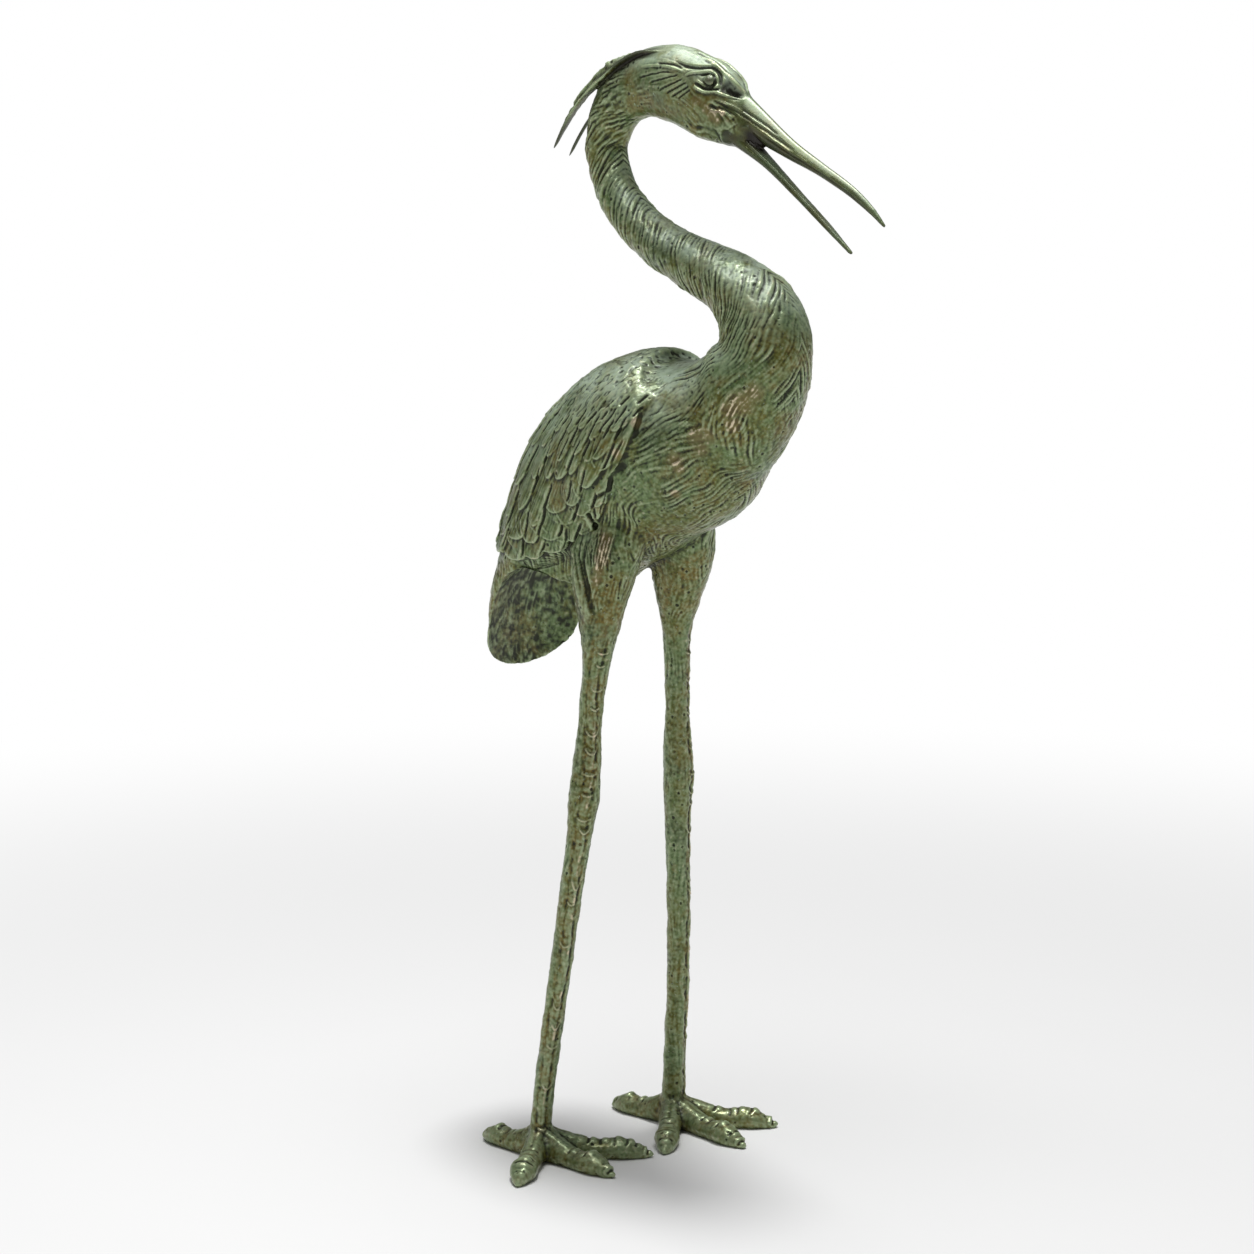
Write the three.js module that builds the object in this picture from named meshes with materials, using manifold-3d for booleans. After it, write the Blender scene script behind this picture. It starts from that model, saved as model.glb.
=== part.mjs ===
// Heron garden statue, hollow cast bronze, standing on its own two feet.
// Millimetres. The bird faces +X, its left side is +Y, and the soles stand on z = 0.

import * as THREE from 'three';
import { LoftGeometry } from 'three/addons/geometries/LoftGeometry.js';
import { mergeVertices } from 'three/addons/utils/BufferGeometryUtils.js';
import Module from 'manifold-3d';

const wasm = await Module();
wasm.setup();

// Trunk, from the tail up to the breast: [ x, z, half width, half depth ] in the plane y = 0
const TRUNK = [
	[ - 113, 533, 65, 20 ],
	[ - 103, 566, 68.5, 28 ],
	[ - 87, 589, 71, 43 ],
	[ - 51, 630, 78, 70 ],
	[ - 2, 683, 84, 92 ],
	[ 58, 723, 87, 97 ],
	[ 118, 740, 78, 86 ],
	[ 164, 771, 56, 54 ]
];

// Hollow of the spoon-shaped tail, cut out from below
const SCOOP = [
	[ - 112, 457, 60, 22 ],
	[ - 112, 478, 62, 22 ],
	[ - 110, 502, 66, 24 ],
	[ - 102, 531, 73, 25 ],
	[ - 83, 567, 78, 31 ],
	[ - 60, 581, 76, 38 ],
	[ - 24, 588, 58, 29 ],
	[ 2, 587, 26, 14 ]
];

// Breast and neck, up to the nape
const NECK = [
	[ 122, 713, 52, 50 ],
	[ 160, 749, 56, 54 ],
	[ 187, 789, 54, 53 ],
	[ 204, 824, 45, 46 ],
	[ 196, 856, 39, 41 ],
	[ 170, 880, 34, 32.5 ],
	[ 136, 896, 30, 28.5 ],
	[ 102, 909, 26, 25 ],
	[ 69, 923, 24, 23.5 ],
	[ 42, 940, 22.5, 22 ],
	[ 20, 959, 21.5, 21 ],
	[ 5, 980, 21, 20.5 ],
	[ - 4, 1001, 20.5, 20.5 ],
	[ - 7, 1022, 21, 21 ],
	[ 1, 1045, 22, 25 ],
	[ 18, 1065, 23, 29 ],
	[ 42, 1076, 24, 32 ]
];

// Head, from the nape to the root of the bill
const HEAD = [
	[ 26, 1069, 22, 29 ],
	[ 56, 1078, 25, 33 ],
	[ 88, 1075, 28, 37 ],
	[ 116, 1065.5, 28, 37.5 ],
	[ 142, 1053, 26, 36 ],
	[ 164, 1039.5, 20, 28 ],
	[ 184, 1027, 13, 18 ]
];

// Bill, held open
const UPPER_BILL = [
	[ 158, 1060, 15, 15 ],
	[ 195, 1032.5, 11, 14 ],
	[ 232, 1010, 8, 9.5 ],
	[ 269, 991, 6, 6.5 ],
	[ 305, 971, 4.5, 5.5 ],
	[ 330, 953, 3, 4 ],
	[ 345, 939, 1.8, 2 ]
];
const LOWER_BILL = [
	[ 158, 1031, 14, 12 ],
	[ 184, 1013, 10.5, 7.5 ],
	[ 210, 994.5, 6.5, 5 ],
	[ 246, 965.5, 4.5, 3.8 ],
	[ 282, 936, 3.6, 3 ],
	[ 307, 915, 2.2, 2 ]
];

// Eyeball and the ridge of the brow, placed on the head: [ share along it, angle around it ], 90 being the crown
const EYE = { spot: [ 0.655, 142 ], radius: 8, sunk: 3 };
const BROW = [ [ 0.52, 150 ], [ 0.57, 134 ], [ 0.65, 126 ], [ 0.74, 134 ], [ 0.8, 150 ] ];
const BROW_RADIUS = 2.6;

// Crest plumes, from root to tip: [ x, y, z, half width, half thickness ]
const PLUMES = [
	{ bow: 3.2, rows: [
		[ 88, - 8, 1104, 7, 2.6 ],
		[ 49, - 10, 1101, 10, 2.2 ],
		[ 12, - 11, 1085, 10.5, 2 ],
		[ - 23, - 12, 1062, 9, 2 ],
		[ - 53, - 12, 1036, 5.5, 2 ],
		[ - 70, - 12, 1018, 2, 1.6 ]
	] },
	{ bow: 1.6, rows: [
		[ 60, 10, 1105, 5, 2.4 ],
		[ 22, 12, 1093, 6.5, 2 ],
		[ - 20, 13, 1067, 6.5, 2 ],
		[ - 50, 13, 1041, 4.5, 2 ],
		[ - 74, 13, 1011, 2, 1.6 ]
	] }
];

// Legs, from hip to ankle: [ x, y, z, half width, half depth ]; the right foot stands a little behind
const RIGHT_LEG = [
	[ 48, - 26, 704, 22, 30 ],
	[ 44, - 39, 659, 31, 42 ],
	[ 41, - 50, 615, 30, 37 ],
	[ 40, - 56, 575, 24, 28 ],
	[ 40, - 59, 535, 16, 18 ],
	[ 37, - 61, 502, 13, 13.5 ],
	[ 32, - 63, 452, 12, 12.5 ],
	[ 29, - 65.5, 405, 14, 15.5 ],
	[ 27, - 67, 377, 15, 16.5 ],
	[ 23, - 69, 342, 12.5, 13.5 ],
	[ 12, - 73, 267, 11.5, 12 ],
	[ 0, - 77, 184, 11, 11.5 ],
	[ - 11, - 81, 107, 11, 11.2 ],
	[ - 19, - 84, 41, 11, 11 ],
	[ - 21, - 85, 12, 14, 14 ]
];
const LEFT_LEG = [
	[ 48, 26, 704, 22, 30 ],
	[ 48, 40, 657, 31, 44 ],
	[ 46, 51, 617, 30, 38 ],
	[ 39, 57, 577, 23, 27 ],
	[ 34, 59, 535, 14.5, 15.5 ],
	[ 32, 61, 497, 12.5, 13 ],
	[ 30, 64, 447, 12, 12.5 ],
	[ 29, 66, 399, 14.5, 16 ],
	[ 28, 67.5, 369, 14.5, 15.5 ],
	[ 25, 70, 324, 12.5, 13 ],
	[ 23, 74, 242, 12, 12.2 ],
	[ 18, 78, 157, 11.5, 11.6 ],
	[ 12, 81, 97, 11.5, 11.5 ],
	[ 7, 84, 41, 12, 12 ],
	[ 5, 85, 12, 15, 15 ]
];

// Toes: heading in degrees from +X towards the bird's left, and length from the middle of the foot
const RIGHT_TOES = [ [ - 57, 93 ], [ 5, 101 ], [ 44, 117 ], [ 181, 82 ] ];
const LEFT_TOES = [ [ - 51, 101 ], [ - 3, 110 ], [ 38, 112 ], [ 184, 84 ] ];

// Along each toe: [ share of its length, height of its middle, half width, half depth ]
const TOE_ROWS = [
	[ 0, 13, 14, 15 ],
	[ 0.28, 9, 13, 12 ],
	[ 0.52, 7, 12, 10.5 ],
	[ 0.72, 8, 13.5, 11.5 ],
	[ 0.9, 6, 12, 9 ],
	[ 1, 4, 7, 6 ]
];

// Folded wing on the trunk: [ share along the trunk, angle of the upper edge, angle of the lower edge ];
// an angle of 90 is the ridge of the back, and 180 the middle of the flank
const WING = [
	[ 0.31, 99, 128 ],
	[ 0.36, 97, 157 ],
	[ 0.41, 97, 182 ],
	[ 0.47, 97, 194 ],
	[ 0.54, 98, 200 ],
	[ 0.62, 99, 203 ],
	[ 0.7, 101, 200 ],
	[ 0.78, 106, 192 ],
	[ 0.82, 116, 180 ],
	[ 0.855, 132, 164 ]
];
const WING_STEPS = 12;

// How far the wing stands off the trunk and reaches into it, and the share of that lift across the wing
const WING_LIFT = 4.5;
const WING_ROOT = 9;
const WING_RISE = [ 0.3, 0.8, 1, 1, 1, 1, 0.7 ];

// The rolled front edge of the wing, and the lower edge that its feather rows are counted from
const WING_FOLD = [ [ 0.8, 120 ], [ 0.84, 131 ], [ 0.862, 150 ], [ 0.85, 168 ], [ 0.81, 184 ], [ 0.755, 197 ] ];
const WING_HEM = [
	[ 0.69, 201 ], [ 0.61, 205 ], [ 0.54, 203 ], [ 0.46, 196 ], [ 0.4, 184 ], [ 0.345, 160 ], [ 0.31, 128 ]
];
const FOLD_RADIUS = 8.5;
const FOLD_LIFT = 0.5;

// Feathers hang down and back in rows, and each row overlaps the one below it. A row starts at a share of
// the lower edge, counted from the front, and its tips stand at a rise above that edge
const FEATHER_FALL = new THREE.Vector3( - 0.48, 0, - 0.88 ).normalize();
const FEATHER_ROWS = [
	{ start: 0.04, rise: - 6, length: 46, width: 25 },
	{ start: 0.1, rise: 24, length: 50, width: 24 },
	{ start: 0.17, rise: 56, length: 50, width: 22 },
	{ start: 0.24, rise: 88, length: 46, width: 20 }
];
const FEATHERS_IN_ROW = 7;
const FEATHER_EDGE = 2;

// A feather's root lies below the wing's surface and its tip above it, and the tip is drawn in
const FEATHER_ROOT_DIP = 2;
const FEATHER_TIP_LIFT = 2;
const FEATHER_ROUNDING = 0.85;

// Size of the block that cuts the soles flat
const GROUND = { wide: 1500, deep: 200 };

// Directions, the length of one pace over a surface, and degrees as radians
const LEFT = new THREE.Vector3( 0, 1, 0 );
const UP = new THREE.Vector3( 0, 0, 1 );
const PACE = 4;
const rad = THREE.MathUtils.degToRad;

// A closed three.js geometry as a solid that can be joined and cut
function solidOf( geometry ) {

	const bare = new THREE.BufferGeometry();
	bare.setAttribute( 'position', geometry.getAttribute( 'position' ) );
	bare.setIndex( geometry.index );
	const merged = mergeVertices( bare, 1e-4 );
	const mesh = new wasm.Mesh( {
		numProp: 3,
		vertProperties: new Float32Array( merged.attributes.position.array ),
		triVerts: new Uint32Array( merged.index.array )
	} );
	return new wasm.Manifold( mesh );

}

// Rows in the plane y = 0 as rows in space
const midline = ( rows ) => rows.map( ( [ x, z, wide, deep ] ) => [ x, 0, z, wide, deep ] );

// A centre line with its half sizes, read at any share t of the way along its rows
function spine( rows, side ) {

	const points = rows.map( ( [ x, y, z ] ) => new THREE.Vector3( x, y, z ) );
	const sizes = rows.map( ( [ , , , wide, deep ] ) => new THREE.Vector3( wide, deep, 0 ) );
	const line = new THREE.CatmullRomCurve3( points, false, 'catmullrom', 0.5 );
	const girth = new THREE.CatmullRomCurve3( sizes, false, 'catmullrom', 0.5 );

	return ( t ) => {

		const along = line.getTangent( t );
		const across = side.clone().addScaledVector( along, - side.dot( along ) ).normalize();
		const out = along.clone().cross( across );
		const half = girth.getPoint( t );
		return { centre: line.getPoint( t ), along, across, out, wide: half.x, deep: half.y };

	};

}

// Sections as corners [ across, out ]: round, drawn in towards a lozenge, or a thin strip bowed over
const corners = ( count, place ) => Array.from( { length: count }, ( _, k ) => place( 2 * Math.PI * k / count ) );
const round = ( count ) => corners( count, ( a ) => [ Math.cos( a ), Math.sin( a ) ] );
const pinch = ( v ) => Math.sign( v ) * Math.abs( v ) ** 1.35;
const lozenge = ( count ) => corners( count, ( a ) => [ pinch( Math.cos( a ) ), pinch( Math.sin( a ) ) ] );
const bowed = ( count, bow ) => corners( count, ( a ) => [ Math.cos( a ), Math.sin( a ) - bow * Math.cos( a ) ** 2 ] );

// The section of a feather: one edge proud of the other, and both reach down into what it lies on
const SHINGLE = [ [ 1, - 6 ], [ 1, 1 ], [ - 1, - 0.4 ], [ - 1, - 6 ] ];

// The section of a rolled ridge, which also reaches down
const MOUND = [ [ 1, - 1.2 ], [ 0.85, 0.5 ], [ 0, 1 ], [ - 0.85, 0.5 ], [ - 1, - 1.2 ] ];

// A body skinned over rings along a spine; each end is flat, or has a dome as deep as its share asks
function skinned( at, { section, steps, domes = [ 1, 1 ], domeRings = [ 65, 30 ] } ) {

	const rings = [];
	const dome = ( t, depth ) => domeRings.map( rad )
		.map( ( lean ) => ( { t, push: Math.sin( lean ) * depth, shrink: Math.cos( lean ) } ) );
	if ( domes[ 0 ] > 0 ) rings.push( ...dome( 0, - domes[ 0 ] ) );
	for ( let i = 0; i <= steps; i ++ ) rings.push( { t: i / steps, push: 0, shrink: 1 } );
	if ( domes[ 1 ] > 0 ) rings.push( ...dome( 1, domes[ 1 ] ).reverse() );

	const sections = rings.map( ( { t, push, shrink } ) => {

		const { centre, along, across, out, wide, deep } = at( t );
		const middle = centre.clone().addScaledVector( along, push * Math.min( wide, deep ) );
		return section.map( ( [ u, v ] ) => middle.clone()
			.addScaledVector( across, u * wide * shrink )
			.addScaledVector( out, v * deep * shrink ) );

	} );
	return solidOf( new LoftGeometry( sections, { capStart: true, capEnd: true } ) );

}

// Point, outward normal and slopes of a round body's surface, at a share t along it and an angle around it
function surface( at ) {

	const place = ( t, angle ) => {

		const { centre, across, out, wide, deep } = at( t );
		return centre.addScaledVector( across, Math.cos( angle ) * wide ).addScaledVector( out, Math.sin( angle ) * deep );

	};
	const step = 1e-3;
	return ( t, angle ) => {

		const perShare = place( t + step, angle ).sub( place( t - step, angle ) ).divideScalar( 2 * step );
		const perTurn = place( t, angle + step ).sub( place( t, angle - step ) ).divideScalar( 2 * step );
		const normal = perTurn.clone().cross( perShare ).normalize();
		return { point: place( t, angle ), normal, perShare, perTurn };

	};

}

// The trunk and the head, and their surfaces
const trunkAt = spine( midline( TRUNK ), LEFT );
const headAt = spine( midline( HEAD ), LEFT );
const onTrunk = surface( trunkAt );
const onHead = surface( headAt );

// Where a walk over the trunk's surface ends, along a heading laid down on that surface
function walk( [ t, angle ], heading, distance ) {

	const paces = Math.ceil( Math.abs( distance ) / PACE );
	for ( let i = 0; i < paces; i ++ ) {

		const { normal, perShare, perTurn } = onTrunk( t, angle );
		const stride = heading.clone().addScaledVector( normal, - heading.dot( normal ) ).normalize()
			.multiplyScalar( distance / paces );
		t += stride.dot( perShare ) / perShare.lengthSq();
		angle += stride.dot( perTurn ) / perTurn.lengthSq();

	}
	return [ t, angle ];

}

// A line drawn over a surface through pairs of share and angle, mirrored for the left side
function drawn( pairs, isLeft ) {

	const points = pairs.map( ( [ t, angle ] ) => new THREE.Vector3( t, rad( isLeft ? 180 - angle : angle ), 0 ) );
	const line = new THREE.CatmullRomCurve3( points, false, 'catmullrom', 0.5 );
	return ( share ) => {

		const { x, y } = line.getPoint( share );
		return [ x, y ];

	};

}

// The body of a wing: a thick sheet laid over the trunk, thinner towards the ridge of the back
function wingSheet( isLeft ) {

	const upper = drawn( WING.map( ( [ t, top ] ) => [ t, top ] ), isLeft );
	const lower = drawn( WING.map( ( [ t, , bottom ] ) => [ t, bottom ] ), isLeft );
	const sections = [];
	for ( let i = 0; i <= WING_STEPS; i ++ ) {

		const [ t, top ] = upper( i / WING_STEPS );
		const [ , bottom ] = lower( i / WING_STEPS );
		const at = ( share, lift ) => {

			const { point, normal } = onTrunk( t, top + ( bottom - top ) * share );
			return point.addScaledVector( normal, lift );

		};
		const skinPoints = WING_RISE.map( ( rise, k ) => at( k / ( WING_RISE.length - 1 ), rise * WING_LIFT ) );
		const rootPoints = [ 1, 0.5, 0 ].map( ( share ) => at( share, - WING_ROOT ) );
		const section = [ ...skinPoints, ...rootPoints ];
		sections.push( isLeft ? section.reverse() : section );

	}
	return solidOf( new LoftGeometry( sections, { capStart: true, capEnd: true } ) );

}

// One feather, from its root to its round tip, which stands proud of the feather below
function feather( hemPoint, { rise, length, width } ) {

	const at = ( share ) => {

		const spot = walk( hemPoint, FEATHER_FALL, - rise - length * ( 1 - share ) );
		const { point, normal } = onTrunk( ...spot );
		const along = FEATHER_FALL.clone().addScaledVector( normal, - FEATHER_FALL.dot( normal ) ).normalize();
		const lift = WING_LIFT + THREE.MathUtils.lerp( - FEATHER_ROOT_DIP, FEATHER_TIP_LIFT, share );
		const wide = width / 2 * Math.sqrt( 1 - FEATHER_ROUNDING * Math.max( 0, 2 * share - 1 ) ** 3 );
		return { centre: point.addScaledVector( normal, lift ), along, across: normal.clone().cross( along ),
			out: normal, wide, deep: FEATHER_EDGE };

	};
	return skinned( at, { section: SHINGLE, steps: 3, domes: [ 0, 0 ] } );

}

// A rolled ridge along a line over a surface, thickest halfway
function ridge( on, line, radius, lift ) {

	const nearby = 0.01;
	const at = ( share ) => {

		const { point, normal } = on( ...line( share ) );
		const behind = on( ...line( Math.max( share - nearby, 0 ) ) ).point;
		const ahead = on( ...line( Math.min( share + nearby, 1 ) ) ).point;
		const along = ahead.sub( behind ).normalize();
		const swell = Math.sin( Math.PI * share );
		const half = radius * ( 0.5 + 0.5 * swell );
		return { centre: point.addScaledVector( normal, lift * swell ), along, across: normal.clone().cross( along ),
			out: normal, wide: half, deep: half };

	};
	return skinned( at, { section: MOUND, steps: 8, domeRings: [ 50 ] } );

}

// Trunk with its wings
let heron = skinned( trunkAt, {
	section: round( 20 ), steps: 16, domes: [ 2.65, 0.9 ], domeRings: [ 70, 45, 22 ]
} );
for ( const isLeft of [ false, true ] ) {

	heron = heron.add( wingSheet( isLeft ) )
		.add( ridge( onTrunk, drawn( WING_FOLD, isLeft ), FOLD_RADIUS, FOLD_LIFT ) );
	const hem = drawn( WING_HEM, isLeft );
	for ( const row of FEATHER_ROWS ) {

		for ( let k = 0; k < FEATHERS_IN_ROW; k ++ ) {

			heron = heron.add( feather( hem( row.start + ( 1 - row.start ) * k / FEATHERS_IN_ROW ), row ) );

		}

	}

}

// Spoon of the tail
const scoopAt = spine( midline( SCOOP ), LEFT );
heron = heron.subtract( skinned( scoopAt, { section: round( 16 ), steps: 8, domes: [ 0, 1 ] } ) );

// Neck and head
heron = heron
	.add( skinned( spine( midline( NECK ), LEFT ), { section: round( 12 ), steps: 26, domes: [ 0, 0 ] } ) )
	.add( skinned( headAt, { section: round( 12 ), steps: 7, domes: [ 0.8, 0.6 ] } ) );
for ( const isLeft of [ false, true ] ) {

	const { point, normal } = onHead( ...drawn( [ EYE.spot, EYE.spot ], isLeft )( 0 ) );
	point.addScaledVector( normal, - EYE.sunk );
	const eye = new THREE.SphereGeometry( EYE.radius, 8, 5 ).translate( point.x, point.y, point.z );
	heron = heron.add( solidOf( eye ) ).add( ridge( onHead, drawn( BROW, isLeft ), BROW_RADIUS, 0 ) );

}

// Open bill
heron = heron
	.add( skinned( spine( midline( UPPER_BILL ), LEFT ), { section: lozenge( 8 ), steps: 8 } ) )
	.add( skinned( spine( midline( LOWER_BILL ), LEFT ), { section: round( 8 ), steps: 6 } ) );

// Crest
for ( const { bow, rows } of PLUMES ) {

	heron = heron.add( skinned( spine( rows, LEFT ), { section: bowed( 8, bow ), steps: 8, domeRings: [ 60, 25 ] } ) );

}

// Legs and feet
for ( const [ leg, toes ] of [ [ RIGHT_LEG, RIGHT_TOES ], [ LEFT_LEG, LEFT_TOES ] ] ) {

	heron = heron.add( skinned( spine( leg, LEFT ), {
		section: round( 9 ), steps: 18, domes: [ 0, 0.5 ], domeRings: [ 50 ]
	} ) );
	const [ x, y ] = leg.at( - 1 );
	for ( const [ heading, length ] of toes ) {

		const way = new THREE.Vector3( Math.cos( rad( heading ) ), Math.sin( rad( heading ) ), 0 );
		const rows = TOE_ROWS.map( ( [ share, z, wide, deep ] ) =>
			[ x + way.x * length * share, y + way.y * length * share, z, wide, deep ] );
		heron = heron.add( skinned( spine( rows, UP.clone().cross( way ) ),
			{ section: round( 7 ), steps: 6, domes: [ 0, 0.6 ], domeRings: [ 50 ] } ) );

	}

}

// Flat soles: all that reaches below the ground is cut away
const ground = new THREE.BoxGeometry( GROUND.wide, GROUND.wide, GROUND.deep ).translate( 0, 0, - GROUND.deep / 2 );
heron = heron.subtract( solidOf( ground ) );

// The finished casting, with the middle of its bounding box over the origin
const cast = heron.getMesh();
const geometry = new THREE.BufferGeometry();
geometry.setAttribute( 'position', new THREE.BufferAttribute( new Float32Array( cast.vertProperties ), 3 ) );
geometry.setIndex( new THREE.BufferAttribute( new Uint32Array( cast.triVerts ), 1 ) );
geometry.computeBoundingBox();
const middle = geometry.boundingBox.getCenter( new THREE.Vector3() );
geometry.translate( - middle.x, - middle.y, 0 );
geometry.computeVertexNormals();

const bronze = new THREE.MeshStandardMaterial( { color: 0x5b6b4f, roughness: 0.42, metalness: 0.75 } );
const statue = new THREE.Mesh( geometry, bronze );
statue.name = 'heron';

const part = new THREE.Group();
part.add( statue );

export default part;
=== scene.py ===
# Heron garden statue in patinated cast bronze, standing on its own two feet.
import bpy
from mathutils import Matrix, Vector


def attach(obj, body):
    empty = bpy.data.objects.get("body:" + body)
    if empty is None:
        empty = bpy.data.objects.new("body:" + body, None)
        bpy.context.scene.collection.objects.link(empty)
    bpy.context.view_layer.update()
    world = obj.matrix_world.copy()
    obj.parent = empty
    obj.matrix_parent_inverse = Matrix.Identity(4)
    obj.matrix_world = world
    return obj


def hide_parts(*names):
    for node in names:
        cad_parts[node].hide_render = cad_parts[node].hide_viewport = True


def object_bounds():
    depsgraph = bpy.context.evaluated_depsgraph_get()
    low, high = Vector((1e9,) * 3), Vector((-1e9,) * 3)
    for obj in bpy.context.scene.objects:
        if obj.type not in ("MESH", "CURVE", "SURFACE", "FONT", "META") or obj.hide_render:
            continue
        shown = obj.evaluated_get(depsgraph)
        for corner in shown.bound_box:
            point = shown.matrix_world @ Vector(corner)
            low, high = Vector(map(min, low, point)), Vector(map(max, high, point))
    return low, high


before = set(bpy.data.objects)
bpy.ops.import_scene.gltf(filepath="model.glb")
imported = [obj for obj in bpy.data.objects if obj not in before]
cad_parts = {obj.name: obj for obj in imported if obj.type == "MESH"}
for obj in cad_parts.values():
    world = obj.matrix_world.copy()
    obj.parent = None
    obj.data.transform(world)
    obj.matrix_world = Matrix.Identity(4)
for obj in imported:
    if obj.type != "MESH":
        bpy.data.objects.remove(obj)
cad_box = [list(corner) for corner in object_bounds()]

import math
import bpy
import numpy as np
from mathutils import Vector, kdtree

# Trunk and tail
# The largest part of the hollow bronze casting: a deep breast that runs back and down to the tail.
# The founder's wax for it was one swelling form, so it is lofted over oval rings along its length.
# the frame's origin in the drawing's millimetres
MIDDLE = np.array([104.7198, -4.1452, 0.0])
LEFT = np.array([0.0, 1.0, 0.0])
UP = np.array([0.0, 0.0, 1.0])
# each row is a ring: the x, y and z of its middle, then its half width and half depth
TRUNK = [
    [-113, 0, 533, 65, 20], [-103, 0, 566, 68.5, 28], [-87, 0, 589, 71, 43], [-51, 0, 630, 78, 70],
    [-2, 0, 683, 84, 92], [58, 0, 723, 87, 97], [118, 0, 740, 78, 86], [164, 0, 771, 56, 54],
]


def line_through(points, share):
    """Places on a smooth line through points, at shares of the way along it."""
    points = np.asarray(points, float)
    share = np.asarray(share, float)
    last = len(points) - 1
    step = np.clip(np.floor(share * last).astype(int), 0, last - 1)
    w = (share * last - step)[:, None]
    ends = np.vstack([2 * points[0] - points[1], points, 2 * points[-1] - points[-2]])
    before, start, end, after = (ends[step + k] for k in range(4))
    slope_in, slope_out = (end - before) / 2, (after - start) / 2
    return ((2 * start - 2 * end + slope_in + slope_out) * w ** 3
            + (-3 * start + 3 * end - 2 * slope_in - slope_out) * w ** 2 + slope_in * w + start)


def unit(vectors):
    """The same directions with a length of one."""
    return vectors / np.linalg.norm(vectors, axis=-1, keepdims=True)


def stations(rows, share, side=LEFT):
    """Centres, directions and half sizes of the rings at shares of the way along the rows."""
    rows = np.asarray(rows, float)
    nearby = 1e-4
    along = unit(line_through(rows[:, :3], np.clip(share + nearby, 0, 1))
                 - line_through(rows[:, :3], np.clip(share - nearby, 0, 1)))
    across = unit(side - along * (along @ side)[:, None])
    half = line_through(rows[:, 3:5], share)
    return line_through(rows[:, :3], share), along, across, np.cross(along, across), half[:, :1], half[:, 1:]


def oval(count):
    """Corners of a round section, as shares of its half width and half depth."""
    turn = np.arange(count) * 2 * math.pi / count
    return np.stack([np.cos(turn), np.sin(turn)], 1)


def rings_along(rows, section, steps, domes=(1, 1), side=LEFT):
    """Rings of points along rows; each end is flat, or has a dome as deep as its share asks."""
    leans = np.radians([88, 78, 66, 54, 42, 30, 18, 8])
    start = [(0, -domes[0] * math.sin(lean), math.cos(lean)) for lean in leans] if domes[0] else []
    end = [(1, domes[1] * math.sin(lean), math.cos(lean)) for lean in leans] if domes[1] else []
    places = np.array(start + [(k / steps, 0, 1) for k in range(steps + 1)] + end[::-1])
    centre, along, across, out, wide, deep = stations(rows, places[:, 0], side)
    centre = centre + along * places[:, 1:2] * np.minimum(wide, deep)
    wide, deep = wide * places[:, 2:], deep * places[:, 2:]
    return (centre[:, None] + across[:, None] * section[None, :, :1] * wide[:, None]
            + out[:, None] * section[None, :, 1:] * deep[:, None])


def cast(name, rings):
    """A closed piece skinned over rings given in millimetres."""
    count, corners = rings.shape[:2]
    index = np.arange(count * corners).reshape(count, corners)
    here, there = index[:-1], index[1:]
    quads = np.stack([here, np.roll(here, -1, 1), np.roll(there, -1, 1), there], -1).reshape(-1, 4)
    faces = quads.tolist() + [index[0][::-1].tolist(), index[-1].tolist()]
    mesh = bpy.data.meshes.new(name)
    mesh.from_pydata(((rings.reshape(-1, 3) - MIDDLE) / 1000).tolist(), [], faces)
    piece = bpy.data.objects.new(name, mesh)
    bpy.context.collection.objects.link(piece)
    return piece


def pick(pieces):
    """Selects pieces alone, the first of them active."""
    bpy.ops.object.select_all(action="DESELECT")
    for piece in pieces:
        piece.select_set(True)
    bpy.context.view_layer.objects.active = pieces[0]


def joined(name, pieces):
    """Several pieces as one object."""
    pick(pieces)
    bpy.ops.object.join()
    pieces[0].name = name
    return pieces[0]


def finished_with(piece, kind, **values):
    """Applies a modifier to a piece."""
    pick([piece])
    bpy.ops.object.modifier_add(type=kind)
    modifier = piece.modifiers[-1]
    for key, value in values.items():
        setattr(modifier, key, value)
    bpy.ops.object.modifier_apply(modifier=modifier.name)


trunk = cast("trunk", rings_along(TRUNK, oval(64), 110, domes=(2.65, 0.9)))

# Neck and head
# The neck rises from the breast in an S and carries the head. It was modelled in one with the trunk.
NECK = [
    [122, 0, 713, 52, 50], [160, 0, 749, 56, 54], [187, 0, 789, 54, 53], [204, 0, 824, 45, 46],
    [196, 0, 856, 39, 41], [170, 0, 880, 34, 32.5], [136, 0, 896, 30, 28.5], [102, 0, 909, 26, 25],
    [69, 0, 923, 24, 23.5], [42, 0, 940, 22.5, 22], [20, 0, 959, 21.5, 21], [5, 0, 980, 21, 20.5],
    [-4, 0, 1001, 20.5, 20.5], [-7, 0, 1022, 21, 21], [1, 0, 1045, 22, 25], [18, 0, 1065, 23, 29],
    [42, 0, 1076, 24, 32],
]
HEAD = [
    [26, 0, 1069, 22, 29], [56, 0, 1078, 25, 33], [88, 0, 1075, 28, 37], [116, 0, 1065.5, 28, 37.5],
    [142, 0, 1053, 26, 36], [164, 0, 1039.5, 20, 28], [184, 0, 1027, 13, 18],
]
neck = cast("neck", rings_along(NECK, oval(48), 300, domes=(0, 0)))
head = cast("head", rings_along(HEAD, oval(48), 80, domes=(0.8, 0.6)))

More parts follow.
